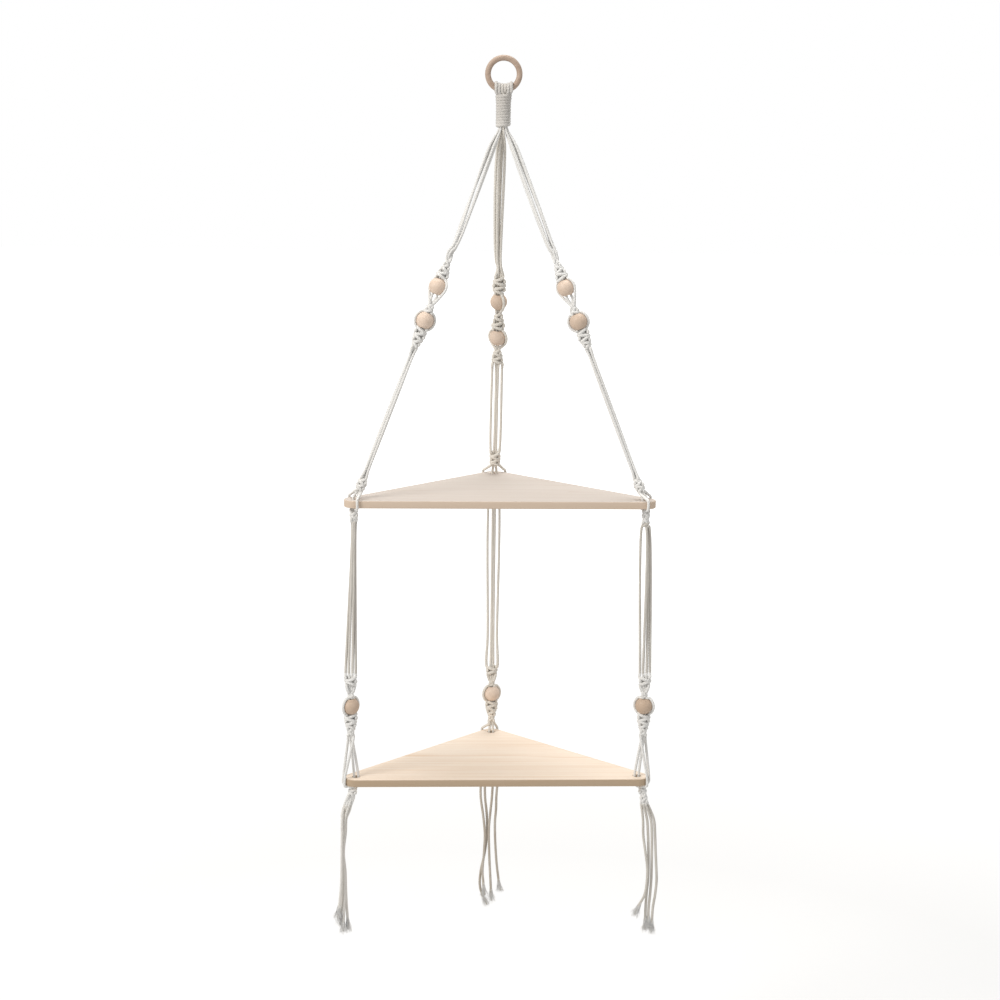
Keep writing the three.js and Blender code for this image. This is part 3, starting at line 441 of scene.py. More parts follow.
def cotton_material(name, light, shade):
    """Undyed cotton: fine fibres along the cord, soft blotches, and painted shade between the plies and over
    the folds, the funnel and the neck.
    """
    material = bpy.data.materials.new(name)
    n = Nodes(material)
    yarn = n.attribute("yarn", "Vector")
    fibres = n.noise(yarn, FIBRE_SCALES, 3.0, 0.6)
    slubs = n.noise(yarn, SLUB_SCALES, 1.0)
    blotches = n.noise(n.add("ShaderNodeTexCoord").outputs["Object"], BLOTCH_SCALES)
    colour = n.mix(n.spread(fibres, 0.3, 0.75), linear(shade), linear(light))
    colour = n.tint(colour, n.spread(slubs, 0.35, 0.7), SLUB_TINT)
    colour = n.tint(colour, n.spread(blotches, 0.4, 0.7), BLOTCH_TINT)
    # Painted shade over the folds, the funnel and the neck
    colour = n.tint(colour, n.attribute("folded"), NECK_SHADE_TINT)
    # Painted shade between the plies, deepest in the grooves
    colour = n.tint(colour, n.attribute("groove_shade"), GROOVE_SHADE_TINT)
    height = n.math("ADD", fibres, n.math("MULTIPLY", slubs, 0.6))
    n.surface(colour, 0.92, height, 0.6, 0.0003, specular=0.2, sheen=0.25)
    return material


def wood_material(name, light, dark, edge, ring, late_share, roughness, fleck=0.2):
    """Plain wood. The grain attribute runs along the log in x, and its y and z are distances from the heart.
    As far as their rim attribute says, the boards' edges take the edge colour as painted shade, and the
    darker beads take it too."""
    material = bpy.data.materials.new(name)
    n = Nodes(material)
    grain = n.attribute("grain", "Vector")
    drift = n.noise(grain, DRIFT_SCALES)
    fibre = n.noise(grain, FIBRE_WOOD_SCALES, 3.0, 0.65)
    streak = n.noise(grain, STREAK_SCALES, 3.0, 0.6)
    across = n.add("ShaderNodeVectorMath", {0: n.stretched(grain, (0.0, 1.0, 1.0))}, operation="LENGTH")
    reach = n.math("MULTIPLY_ADD", drift, RING_WANDERING * ring, across.outputs["Value"])
    year = n.math("FRACT", n.math("DIVIDE", reach, ring))
    late = n.math("MULTIPLY", n.math("POWER", year, RING_SHARPNESS), n.spread(streak, 0.2, 0.75))
    early = n.math("MULTIPLY", n.spread(streak, 0.3, 0.75), 0.4)
    tone = n.math("ADD", n.math("MULTIPLY", late, late_share), early)
    colour = n.mix(tone, linear(light), linear(dark))
    flecks = n.math("GREATER_THAN", n.noise(grain, FLECK_SCALES, 1.0), FLECK_THRESHOLD)
    colour = n.tint(colour, flecks, (dark, fleck))
    colour = n.tint(colour, n.spread(n.noise(grain, CLOUD_SCALES), 0.35, 0.7), (dark, CLOUD_SHARE))
    if edge:
        # Painted shade on the boards' edges, and the darkening of the darker beads, as far as the rim
        # attribute says
        colour = n.tint(colour, n.attribute("rim"), (edge, EDGE_SHADE_AND_BEAD_DARKENING))
    height = n.math("ADD", n.math("MULTIPLY", fibre, 0.7), n.math("MULTIPLY", late, -0.5))
    rough = n.math("MULTIPLY_ADD", streak, 0.16, roughness - 0.08)
    n.surface(colour, rough, height, 0.25, 0.00025, specular=0.35)
    return material


COTTON = cotton_material("undyed_cotton", (250, 250, 249), (238, 237, 235))
# The copies of the one undyed cotton below are darker by painted shade: the shaded one for the sides' free
# middle runs and the right tassel, a little for the left tassel, most for the back tassel, a warm one for the
# back strand and a grey one for the neck's winding
SHADED_COTTON = cotton_material("undyed_cotton_shaded", (222, 217, 208), (198, 192, 183))
LIGHT_SHADE_COTTON = cotton_material("undyed_cotton_light_shade", (246, 243, 238), (230, 226, 219))
DEEP_SHADE_COTTON = cotton_material("undyed_cotton_deep_shade", (203, 192, 177), (176, 164, 148))
WRAP_SHADE_COTTON = cotton_material("undyed_cotton_wrap_shade", (222, 219, 215), (206, 203, 198))
WARM_SHADE_COTTON = cotton_material("undyed_cotton_warm_shade", (245, 240, 230), (230, 223, 213))
# The third colour of each pine is painted shade, taken on the board's rounded edges
UPPER_PINE = wood_material("pine_upper", (207, 198, 190), (188, 172, 158), (213, 191, 169), 0.0042, 0.5, 0.62)
LOWER_PINE = wood_material("pine_lower", (254, 240, 224), (233, 203, 173), (171, 147, 118), 0.0040, 0.7, 0.62)
BEAD_WOOD = wood_material(
    "bead_wood", (234, 214, 197), (203, 178, 156), (178, 152, 126), 0.0022, 0.4, 0.5, 0.3
)
RING_WOOD = wood_material("ring_wood", (193, 172, 155), (152, 126, 107), None, 0.0019, 0.6, 0.45, 0.35)

# The cottons of each strand's knots and of its free middle run, and of its tassel; the darker copies among
# them are painted shade
SIDE_COTTONS = (COTTON, SHADED_COTTON)
STRAND_COTTONS = {"left": SIDE_COTTONS, "right": SIDE_COTTONS, "back": (WARM_SHADE_COTTON, WARM_SHADE_COTTON)}
TASSEL_COTTONS = {"left": LIGHT_SHADE_COTTON, "right": SHADED_COTTON, "back": DEEP_SHADE_COTTON}


# Mesh helpers


def add_object(name, data):
    made = bpy.data.objects.new(name, data)
    bpy.context.scene.collection.objects.link(made)
    return made


def mesh_object(name, points, faces, material, attributes, smooth=None):
    """A mesh object from lists or arrays. attributes maps a name to one value or vector for each point."""
    mesh = bpy.data.meshes.new(name)
    mesh.from_pydata([tuple(p) for p in points], [], faces)
    for key, values in attributes.items():
        values = np.asarray(values, np.float32)
        kind, field = ("FLOAT_VECTOR", "vector") if values.ndim == 2 else ("FLOAT", "value")
        mesh.attributes.new(key, kind, "POINT").data.foreach_set(field, values.ravel())
    mesh.polygons.foreach_set("use_smooth", smooth or [True] * len(faces))
    mesh.materials.append(material)
    mesh.update()
    made = add_object(name, mesh)
    return made


def circle(steps):
    """Even angles once round."""
    return [tau * k / steps for k in range(steps)]


def quads(rows, sides, base=0, closed=False):
    """Faces between rows of points that are loops, and back to the first row if closed."""
    faces = []
    for row in range(rows if closed else rows - 1):
        a, b = base + row * sides, base + (row + 1) % rows * sides
        for k in range(sides):
            beside = (k + 1) % sides
            faces.append((a + k, a + beside, b + beside, b + k))
    return faces


def tube_faces(rows, sides, base):
    """Faces of a tube whose rows of points are loops, with a flat face over both ends."""
    faces = quads(rows, sides, base)
    faces.append(tuple(reversed(range(base, base + sides))))
    faces.append(tuple(range(base + (rows - 1) * sides, base + rows * sides)))
    return faces


def lathe(profile, steps):
    """Points and faces of a closed profile of (radius, height), anticlockwise, turned round the z axis."""
    points = []
    for angle in circle(steps):
        points += [Vector((r * cos(angle), -r * sin(angle), z)) for r, z in profile]
    return points, quads(steps, len(profile), closed=True)


# Twisted cord


def between(t, ta, tb, a, b):
    """From a at ta to b at tb in a straight line."""
    return (tb - t) / (tb - ta) * a + (t - ta) / (tb - ta) * b


def smooth_line(points, widths, step):
    """A centripetal Catmull-Rom curve through the points, sampled evenly: places, widths and run along it."""
    p, w = np.array(points, float), np.array(widths, float)
    p = np.vstack([2 * p[0] - p[1], p, 2 * p[-1] - p[-2]])
    times = np.r_[0, np.cumsum(np.sqrt(np.linalg.norm(np.diff(p, axis=0), axis=1)))]
    places, sizes = [], []
    for i in range(1, len(p) - 2):
        t0, t1, t2, t3 = times[i - 1 : i + 3]
        count = max(2, int(np.linalg.norm(p[i + 1] - p[i]) / step * LINE_SAMPLES))
        t = np.linspace(t1, t2, count, endpoint=False)[:, None]
        a1 = between(t, t0, t1, p[i - 1], p[i])
        a2 = between(t, t1, t2, p[i], p[i + 1])
        a3 = between(t, t2, t3, p[i + 1], p[i + 2])
        b1 = between(t, t0, t2, a1, a2)
        b2 = between(t, t1, t3, a2, a3)
        places.append(between(t, t1, t2, b1, b2))
        sizes.append(between(t[:, 0], t1, t2, w[i - 1], w[i]))
    places = np.vstack([*places, p[-2][None]])
    sizes = np.r_[np.concatenate(sizes), w[-1]]
    run = np.r_[0, np.cumsum(np.linalg.norm(np.diff(places, axis=0), axis=1))]
    even = np.linspace(0, run[-1], max(3, round(run[-1] / step) + 1))
    line = np.column_stack([np.interp(even, run, places[:, k]) for k in range(3)])
    return line, np.interp(even, run, sizes), even


def level_frames(line):
    """The direction along each point of a line and two across it, which never twist on the way."""
    ways = np.gradient(line, axis=0)
    ways /= np.linalg.norm(ways, axis=1)[:, None]
    across = np.zeros_like(line)
    first = np.array([1.0, 0, 0]) if abs(ways[0, 0]) < NEARLY_ALONG_X else np.array([0, 1.0, 0])
    across[0] = first - ways[0] * (first @ ways[0])
    for i in range(1, len(line)):
        across[i] = across[i - 1] - ways[i] * (across[i - 1] @ ways[i])
    across /= np.linalg.norm(across, axis=1)[:, None]
    return ways, across, np.cross(ways, across)


def ply_section():
    """Three plies pressed together: angles, radii with the cord's own as 1, and depths in the grooves, which
    mask the painted shade between the plies.
    """
    offset = 1 - PLY_SHARE
    angles, radii, grooves = [], [], []
    for ply in circle(PLIES):
        for k in range(PLY_POINTS):
            lean = (k / PLY_POINTS - 0.5) * tau / PLIES
            angles.append(ply + lean)
            radii.append(offset * cos(lean) + sqrt(PLY_SHARE**2 - (offset * sin(lean)) ** 2))
            grooves.append(abs(lean) * PLIES / pi)
    return np.array(angles), np.array(radii), np.array(grooves) ** GROOVE_SHARPNESS


PLY_ANGLES, PLY_RADII, PLY_GROOVES = ply_section()


class Cord:
    """One whole cord: its even line, widths, run from the start, directions and the first ply's angle."""

    def __init__(self, points, widths, phase):
        self.line, self.widths, self.run = smooth_line(points, widths, CORD_STEP)
        self.frames = level_frames(self.line)
        self.phase = phase

    def rows_at(self, height):
        """The rows where a folded cord's two halves pass a height, on the way up and on the way down."""
        heights = self.line[:, 2]
        peak = int(np.argmax(heights))
        rising = int(np.searchsorted(heights[:peak], height))
        return rising, peak + int(np.searchsorted(-heights[peak:], -height))

    def skin(self, first=0, last=None, domes=(True, True)):
        """The twisted surface from one row to another: points and their places in the yarn. A dome is a round
        end, which reaches half a cord past the stretch."""
        rows = np.arange(len(self.line))[first:last]
        reach, share = np.zeros(len(rows)), np.ones(len(rows))
        bend = DOME_ANGLE * np.arange(1, DOME_RINGS + 1) / DOME_RINGS
        if domes[0]:
            rows = np.r_[np.repeat(rows[0], DOME_RINGS), rows]
            reach, share = np.r_[-np.sin(bend[::-1]), reach], np.r_[np.cos(bend[::-1]), share]
        if domes[1]:
            rows = np.r_[rows, np.repeat(rows[-1], DOME_RINGS)]
            reach, share = np.r_[reach, np.sin(bend)], np.r_[share, np.cos(bend)]
        way, across, up = (directions[rows] for directions in self.frames)
        radius = self.widths[rows] / 2
        centre = self.line[rows] + way * (radius * reach)[:, None]
        run = (self.run[rows] + radius * reach)[:, None]
        turn = run * tau / LAY_LENGTH + self.phase + PLY_ANGLES
        sideways = across[:, None] * np.cos(turn)[..., None] + up[:, None] * np.sin(turn)[..., None]
        points = centre[:, None] + sideways * ((radius * share)[:, None] * PLY_RADII)[..., None]
        along = np.broadcast_to(run + self.phase, turn.shape)
        yarn = np.stack([along, turn % tau * CORD / 2, np.zeros_like(turn)], axis=2)
        return points.reshape(-1, 3), yarn.reshape(-1, 3)


def twisted_mesh(name, skins, material):
    """One mesh of the twisted surfaces of one or more cords."""
    sides = len(PLY_ANGLES)
    faces, base = [], 0
    for points, _ in skins:
        faces += tube_faces(len(points) // sides, sides, base)
        base += len(points)
    points = np.vstack([points for points, _ in skins])
    attributes = {
        "yarn": np.vstack([yarn for _, yarn in skins]),
        # The share of painted shade between the plies, deepest in the grooves
        "groove_shade": np.tile(PLY_GROOVES, base // sides),
        # The share of painted shade: full on the folds, the funnel and the top of the neck, fading out down
        # to the neck's exit
        "folded": np.clip((points[:, 2] - NECK_EXIT) / NECK_GATHER_LENGTH, 0, 1),
    }
    return mesh_object(name, points, faces, material, attributes)


# Routes, as in the frame's source


class Axis:
    """A strand's straight axis. Places on it are given sideways, frontwards and down the strand."""

    def __init__(self, start, end):
        self.start = Vector(start)
        self.length = (Vector(end) - self.start).length
        self.down = (Vector(end) - self.start).normalized()
        front = Vector((0, -1, 0))
        self.front = (front - self.down * front.dot(self.down)).normalized()
        self.side = self.front.cross(self.down)

    def at(self, sideways, frontwards, drop):
        return self.start + self.side * sideways + self.front * frontwards + self.down * drop


def vertical_axis(x, y, top):
    return Axis((x, y, top), (x, y, top - CORD))


class Legs:
    """The four legs of one strand: two inner ones, and a front and a back one that tie the knots."""

    def __init__(self, outer_side, chance):
        self.inner_left, self.inner_right = [], []
        self.outer_front, self.outer_back = [], []
        self.outer_side = outer_side
        self.chance = chance

    def lay(self, axis, drop, shares):
        """The legs hanging free. Two shares mirror, four are the inner and outer legs from left to right."""
        if len(shares) == 2:
            shares = [(sign * share[0], share[1]) for share in shares for sign in (-1, 1)]
        legs = [self.inner_left, self.inner_right, self.outer_front, self.outer_back]
        if self.outer_side > 0:
            legs[2:] = [self.outer_back, self.outer_front]
        for leg, (sideways, frontwards) in zip(legs, shares):
            leg.append((axis.at(sideways * CORD_SPACING, frontwards * CORD_SPACING, drop), FREE_CORD))

    def inner_pair(self, axis, drop, side):
        self.inner_left.append((axis.at(-side, 0, drop), FREE_CORD))
        self.inner_right.append((axis.at(side, 0, drop), FREE_CORD))

    def outer_pair(self, axis, sideways, frontwards, drop, width=TIED_CORD):
        towards = self.outer_side * sideways
        self.outer_front.append((axis.at(towards, frontwards, drop), width))
        self.outer_back.append((axis.at(-towards, -frontwards, drop), width))

    def turn(self, axis, half_width, drop):
        """The outer legs at the sides of a knot. The back leg comes forward over the front leg's bars."""
        for leg, towards, front in (
            (self.outer_front, self.outer_side, KNOT_TURN_FRONT),
            (self.outer_back, -self.outer_side, KNOT_TURN_BACK),
        ):
            stray = [self.chance.uniform(-1, 1) * KNOT_LOOSENESS for _ in range(3)]
            place = axis.at(towards * half_width + stray[0], front + stray[1], drop + stray[2])
            leg.append((place, TIED_CORD))

    def tie(self, axis, top, knot):
        """Half knots in a row, one fewer than the widths. The outer legs change sides at each crossing."""
        length, widths = knot
        crossings = len(widths) - 1
        pitch = length / crossings
        for i, width in enumerate(widths):
            self.inner_pair(axis, top + i * pitch, min(CORD / 2, width * KNOT_CORE_SHARE))
        self.turn(axis, widths[0], top)
        for i in range(crossings):
            drop = top + (i + 0.5) * pitch
            middle = (widths[i] + widths[i + 1]) / 2
            depth = KNOT_DEPTH * min(1, middle / KNOT_HALF_WIDTH)
            shoulder = middle * KNOT_SHOULDER_SHARE
            self.outer_pair(axis, shoulder, depth, drop - KNOT_LEAN)
            self.outer_pair(axis, -shoulder, depth, drop + KNOT_LEAN)
            self.outer_side = -self.outer_side
            if i < crossings - 1:
                for half in (-KNOT_TURN_HALF, KNOT_TURN_HALF):
                    self.turn(axis, widths[i + 1], drop + pitch / 2 + half)
        self.turn(axis, widths[-1], top + length)

    def pass_bead(self, axis, drop, degrees, leave=BEAD_PASS_ANGLE):
        """The outer legs hug the bead. Past the leaving angle they run straight to the next knot."""
        turn = radians(degrees)
        reach = BEAD_DIAMETER / 2 + CORD / 2
        for i in range(BEAD_PASS_ARCS + 1):
            angle = radians((BEAD_PASS_ANGLE + leave) * i / BEAD_PASS_ARCS - BEAD_PASS_ANGLE)
            out = reach * cos(angle)
            sideways, frontwards = out * cos(turn), out * sin(turn)
            self.outer_pair(axis, sideways, frontwards, drop + reach * sin(angle), FREE_CORD)

    def pass_corner(self, corner, board, angles, under):
        """The inner pair drops through the board's hole. The outer legs go round its corner and under it."""
        bottom, top = (end.z for end in board)
        lead = CORD / 2
        in_hole = BOARD_HOLE / 2 - EDGE_CLEARANCE - lead
        x, y = corner.hole
        for z in (top + lead, bottom - lead):
            self.inner_left.append((Vector((x - in_hole, y, z)), FREE_CORD))
            self.inner_right.append((Vector((x + in_hole, y, z)), FREE_CORD))
        way = -corner.side or -self.outer_side
        for leg, sign, degrees in ((self.outer_front, way, angles[0]), (self.outer_back, -way, angles[1])):
            angle = radians(degrees)
            reach = ROUND_CORNER_RADIUS / cos(max(0, angle - corner.arc_half))
            x, y = around(corner, reach, corner.out + sign * angle)
            edge = Vector((x, y, top + lead))
            inner = Vector((x, y, bottom - lead)).lerp(Vector((*under, bottom - lead)), UNDER_SHARE)
            over = edge.lerp(leg[-1][0], APPROACH_SHARE)
            below = Vector((x, y, bottom - EDGE_SINKING))
            leg += [(place, FREE_CORD) for place in (over, edge, below, inner)]
        self.outer_side = corner.end_side


def around(corner, reach, angle):
    """A place round a corner's hole, seen from above."""
    x, y = corner.hole
    return x + reach * cos(angle), y + reach * sin(angle)


def outward(corner, reach):
    return around(corner, reach, corner.out)


def strand_axis(corner, spread):
    x, y = outward(corner, UPPER_STRAND_OUTSET)
    return vertical_axis(x + corner.side * spread, y, UPPER_BOX[0].z)


def tassel_axis(corner):
    return vertical_axis(*outward(corner, TASSEL_OUTSET), LOWER_BOX[0].z)


def fold_over(column):
    """One cord's fold on the ring: half an ellipse round the ring's section under its column."""
    x = column * FOLD_SPACING
    reach = RING_SECTION / 2 + FOLD_CLEARANCE + CORD / 2
    section = RING_CENTRE.z - sqrt(RING_MEAN_RADIUS**2 - x**2)
    lowest = RING_CENTRE.z - (RING_MEAN_RADIUS - reach)
    crown = RING_CENTRE.z - sqrt((RING_MEAN_RADIUS - reach) ** 2 - x**2)
    crown += (lowest - crown) * FOLD_LOWERING_SHARE
    fold = []
    for i in range(FOLD_ARCS + 1):
        angle = pi * i / FOLD_ARCS
        point = Vector((x, -reach * cos(angle), section + (crown - section) * sin(angle)))
        fold.append((point, FOLDED_CORD))
    return fold


def neck_place(column, back):
    """A leg's place inside the wrap: two legs in the middle and ten round them."""
    if column not in NECK_ROUND_PLACES:
        return NECK_INNER_OFFSET, back * NECK_INNER_HALF
    angle = tau / NECK_ROUND * NECK_ROUND_PLACES[column]
    return NECK_ROUND_RADIUS * sin(angle), back * NECK_ROUND_RADIUS * cos(angle)


def through_neck(leg, column, back):
    row_x = column * FOLD_SPACING
    row_y = back * (RING_SECTION / 2 + FOLD_CLEARANCE + CORD / 2)
    x, y = neck_place(column, back)
    gathering = Vector((x * NECK_TOP_SHARES[0], y * NECK_TOP_SHARES[1], WRAP_TOP - WRAP_CORD))
    leg += [(Vector((row_x, row_y, FUNNEL_TOP)), FOLDED_CORD), (gathering, FOLDED_CORD)]
    leg += [(Vector((x, y, height)), CORD_IN_NECK) for height in (NECK_TOP, NECK_EXIT)]


def leave_neck(legs, axis, corner, first_knot, near, far):
    """From the neck to the first knot. The side strands' outer legs come from the outside of the neck."""
    mirror = corner.side or 1
    last = first_knot - KNOT_SPREAD
    for shares, drop in zip(corner.leaving, (NECK_GATHER_LENGTH, last - KNOT_SPREAD, last)):
        for leg, (sideways, frontwards) in zip((legs.outer_front, legs.outer_back, near, far), shares):
            place = axis.at(mirror * sideways * CORD_SPACING, frontwards * CORD_SPACING, drop)
            leg.append((place, FREE_CORD))


def route_upper(legs, corner, near, far):
    """Down the upper strand: from the neck, past two beads and four knots, and round the board's corner."""
    side = corner.side
    start = (side * NECK_EXIT_OUTSET, CORD_IN_NECK / 2 if side == 0 else 0, NECK_EXIT)
    axis = Axis(start, (*outward(corner, -CORNER_KNOT_INSET), UPPER_BOX[1].z + CORNER_KNOT_HEIGHT))
    first_bead, second_bead = corner.beads
    first, middle, last = corner.knots
    first_knot = first_bead - BEAD_SEAT - first[0]
    leave_neck(legs, axis, corner, first_knot, near, far)
    legs.tie(axis, first_knot, first)
    legs.pass_bead(axis, first_bead, corner.turns[0], corner.leave_angles[0])
    if side:
        legs.inner_pair(axis, first_bead + BEAD_SEAT + INNER_SPREAD_DROP, INNER_SPREAD)
    legs.tie(axis, second_bead - BEAD_SEAT - middle[0], middle)
    legs.pass_bead(axis, second_bead, corner.turns[1], corner.leave_angles[1])
    last_knot = second_bead + BEAD_SEAT + corner.last_gap
    legs.tie(axis, last_knot, last)
    board_knot = axis.length - corner.board_knot[0] + corner.lowering
    for drop in (last_knot + last[0] + KNOT_SPREAD, board_knot - KNOT_SPREAD):
        legs.lay(axis, drop, corner.over_board)
    legs.tie(axis, board_knot, corner.board_knot)
    legs.pass_corner(corner, UPPER_BOX, corner.upper, outward(corner, UPPER_STRAND_OUTSET))
    return axis


def route_lower(legs, corner):
    """Down the middle strand: from the upper board, past the bead and round the lower board to the tassel."""
    hanging, foot = strand_axis(corner, 0), strand_axis(corner, STRAND_SPREAD)
    legs.tie(hanging, UNDER_BOARD_DROP, corner.under_knot)
    legs.lay(hanging, PIVOT_DROP, corner.hanging)
    legs.lay(foot, PIVOT_DROP + STRAND_LENGTH, corner.standing)
    bead = PIVOT_DROP + STRAND_LENGTH + corner.lower_bead
    legs.tie(foot, bead - BEAD_SEAT - FUNNEL_LENGTH, GATHERING_KNOT)
    legs.tie(foot, bead - BEAD_SEAT - NECKED_KNOT[0], NECKED_KNOT)
    legs.pass_bead(foot, bead, corner.turns[2])
    legs.tie(foot, bead + BEAD_SEAT, LOWER_KNOT)
    free = bead + BEAD_SEAT + LOWER_KNOT[0] + KNOT_EASING
    legs.outer_pair(foot, SMALL_KNOT[1][0], CORD_SPACING, free, FREE_CORD)
    under = outward(corner, corner.tassel_knot)
    legs.pass_corner(corner, LOWER_BOX, corner.lower, under)
    tassel = tassel_axis(corner)
    leaning = Axis((*under, LOWER_BOX[0].z), tassel.at(0, 0, TASSEL_PIVOT_DROP))
    legs.tie(leaning, UNDER_BOARD_DROP, corner.under_knot)
    legs.lay(tassel, TASSEL_PIVOT_DROP, TASSEL_TOP_SHARES)
    return foot, bead


def route_strand(corner, chance):
    """Both cords of one strand, from tassel to tassel, as stations, and the places of its beads."""
    side = corner.side
    outer_column, inner_column = corner.columns
    legs = Legs(side or 1, chance)
    near, far = legs.inner_right, legs.inner_left
    if side < 0:
        near, far = far, near
    through_neck(legs.outer_front, outer_column, -1)
    through_neck(legs.outer_back, outer_column, 1)
    through_neck(near, inner_column, -1)
    through_neck(far, inner_column, 1)
    axis = route_upper(legs, corner, near, far)
    beads = {f"bead_{i}": (axis, drop) for i, drop in enumerate(corner.beads, 1)}
    beads["lower_bead"] = route_lower(legs, corner)
    working = [*legs.outer_front[::-1], *fold_over(outer_column), *legs.outer_back]
    core = [*near[::-1], *fold_over(inner_column), *far]
    return working, core, beads


# Pieces


def make_strand(name, corner, chance):
    """Cuts both cords of a strand at its joints and makes its pieces: the upper and lower ones ride on their
    bodies, and the middle one is left where it hangs.
    """
    knotted, hanging = STRAND_COTTONS[name]
    middle, lower = [], []
    working, core, beads = route_strand(corner, chance)
    for part, stations in (("working", working), ("core", core)):
        cord = Cord(*zip(*stations), chance.uniform(0, tau))
        top, pivot = cord.rows_at(UPPER_PIVOT + KNOT_EXIT), cord.rows_at(LOWER_PIVOT)
        piece = twisted_mesh(f"{name}_{part}_rope", [cord.skin(top[0] - 1, top[1] + 1)], knotted)
        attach(piece, "upper")
        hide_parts(f"{name}_{part}_cord")
        middle += [cord.skin(pivot[0], top[0], (True, False)), cord.skin(top[1], pivot[1], (False, True))]
        lower += [cord.skin(0, pivot[0] + 1), cord.skin(pivot[1] - 1)]
    piece = twisted_mesh(f"{name}_strand_ropes", middle, hanging)
    hinge = strand_axis(corner, 0).at(0, 0, PIVOT_DROP)
    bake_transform(piece)
    suffixes = ("core_cord_l", "core_cord_r", "working_cord_f", "working_cord_b")
    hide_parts(*[f"{name}_strand_{suffix}" for suffix in suffixes])
    piece = twisted_mesh(f"{name}_lower_ropes", lower, knotted)
    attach(piece, "lower")
    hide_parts(*[f"{name}_lower_{suffix}" for suffix in suffixes])
    for (suffix, (axis, drop)), tone in zip(beads.items(), corner.bead_tones):
        body = "lower" if suffix == "lower_bead" else "upper"
        make_bead(f"{name}_{suffix}", axis, drop, body, tone, chance)


def make_wrap():
    """The winding round the neck: one unbroken helix with its ends tucked in."""
    radius = NECK_ROUND_RADIUS + (CORD_IN_NECK + WRAP_CORD) / 2 + CORD_GAP - WRAP_SINKING
    points = []
    for i in range(WRAP_LOOPS * WRAP_LOOP_STEPS + 1):
        turn = i / WRAP_LOOP_STEPS
        angle = tau * turn
        height = WRAP_TOP - WRAP_CORD / 2 - WRAP_PITCH * turn
        reach = radius + WRAP_FLARE * max(0, 1 - turn / WRAP_FLARE_LOOPS)
        points.append(Vector((reach * sin(angle), reach * cos(angle), height)))
    inward = 1 - WRAP_CORD / radius
    first, last = points[0], points[-1]
    points.insert(0, Vector((first.x - WRAP_CORD, first.y * inward, first.z)))
    points.append(Vector((last.x + WRAP_CORD, last.y * inward, last.z)))
    cord = Cord(points, [WRAPPED_CORD] * len(points), 0.0)
    # The winding's cotton is a greyer copy, painted shade
    piece = twisted_mesh("neck_winding", [cord.skin()], WRAP_SHADE_COTTON)
    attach(piece, "upper")
    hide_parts("neck_wrap")


def make_fray(name, line, chance):
    """The loose fibres of a cut end. They leave the cord a little above its end and spread out."""
    root = line[-int(FRAY_LENGTH / np.linalg.norm(line[1] - line[0]))]
    way = line[-1] - root
    way /= np.linalg.norm(way)
    side = np.cross(way, (0.0, 1.0, 0.0))
    side /= np.linalg.norm(side)
    front = np.cross(side, way)
    points, faces, yarn = [], [], []
    for _ in range(FRAY_FIBRES):
        angle = chance.uniform(0, tau)
        spread = FRAY_SPREAD * chance.uniform(0, 1) ** FRAY_CROWDING
        length = FRAY_LENGTH * chance.uniform(*FRAY_LENGTHS)
        late = chance.uniform(0, FRAY_LATEST)
        curl = chance.uniform(-1, 1) * FRAY_CURL
        faces += tube_faces(FRAY_POINTS, FRAY_SIDES, len(points))
        for i in range(FRAY_POINTS):
            share = i / (FRAY_POINTS - 1)
            out = FRAY_ROOT + (spread - FRAY_ROOT) * max(0, share - late) ** FRAY_OPENING
            swing = curl * sin(share * FRAY_SWING)
            sideways = side * (out * cos(angle) + swing) + front * (out * sin(angle) - swing)
            centre = root + way * length * share + sideways
            radius = FRAY_FIBRE / 2 * (1 - FRAY_THINNING * share)
            for turn in circle(FRAY_SIDES):
                points.append(centre + radius * (side * cos(turn) + front * sin(turn)))
                yarn.append((share * length, turn * radius, 0))
    return mesh_object(name, points, faces, COTTON, {"yarn": yarn})


def make_tassel(name, corner, chance):
    """Four free cords, each frayed at its cut end."""
    axis = tassel_axis(corner)
    for i, (top, rows) in enumerate(zip(TASSEL_TOPS, TASSEL_SHARES[name]), 1):
        points = [
            axis.at(sideways * CORD, frontwards * CORD, TASSEL_PIVOT_DROP + drop * TASSEL_LENGTH)
            for sideways, frontwards, drop in (top, *rows)
        ]
        cord = Cord(points, [FREE_CORD] * len(points), chance.uniform(*TASSEL_PHASES))
        length = float(cord.run[-1])
        cord.widths *= np.interp((length - cord.run) / FRAY_LENGTH, *TASSEL_TAPER)
        piece = twisted_mesh(f"{name}_tassel_rope_{i}", [cord.skin()], TASSEL_COTTONS[name])
        fray = make_fray(f"{name}_tassel_fray_{i}", cord.line, chance)
        for part in (piece, fray):
            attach(part, f"tassel_{name}")
        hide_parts(f"{name}_tassel_cord_{i}")


def bead_profile():
    """Half a sphere's outline with a bore along it and rounded mouths, counted from the lower mouth."""
    radius, bore = BEAD_DIAMETER / 2, BEAD_BORE / 2
    pole = asin((bore + BORE_SOFTENING) / radius)
    outline = []
    for i in range(BEAD_ARCS + 1):
        angle = pole + (pi - 2 * pole) * i / BEAD_ARCS
        outline.append((radius * sin(angle), -radius * cos(angle)))
    mouth = radius * cos(pole)
    out, down = (BORE_SOFTENING * share for share in MOUTH_SHARES)
    upper = [(bore + out, mouth - down), (bore, mouth - BORE_SOFTENING)]
    return [*outline, *upper, *[(r, -z) for r, z in reversed(upper)]]


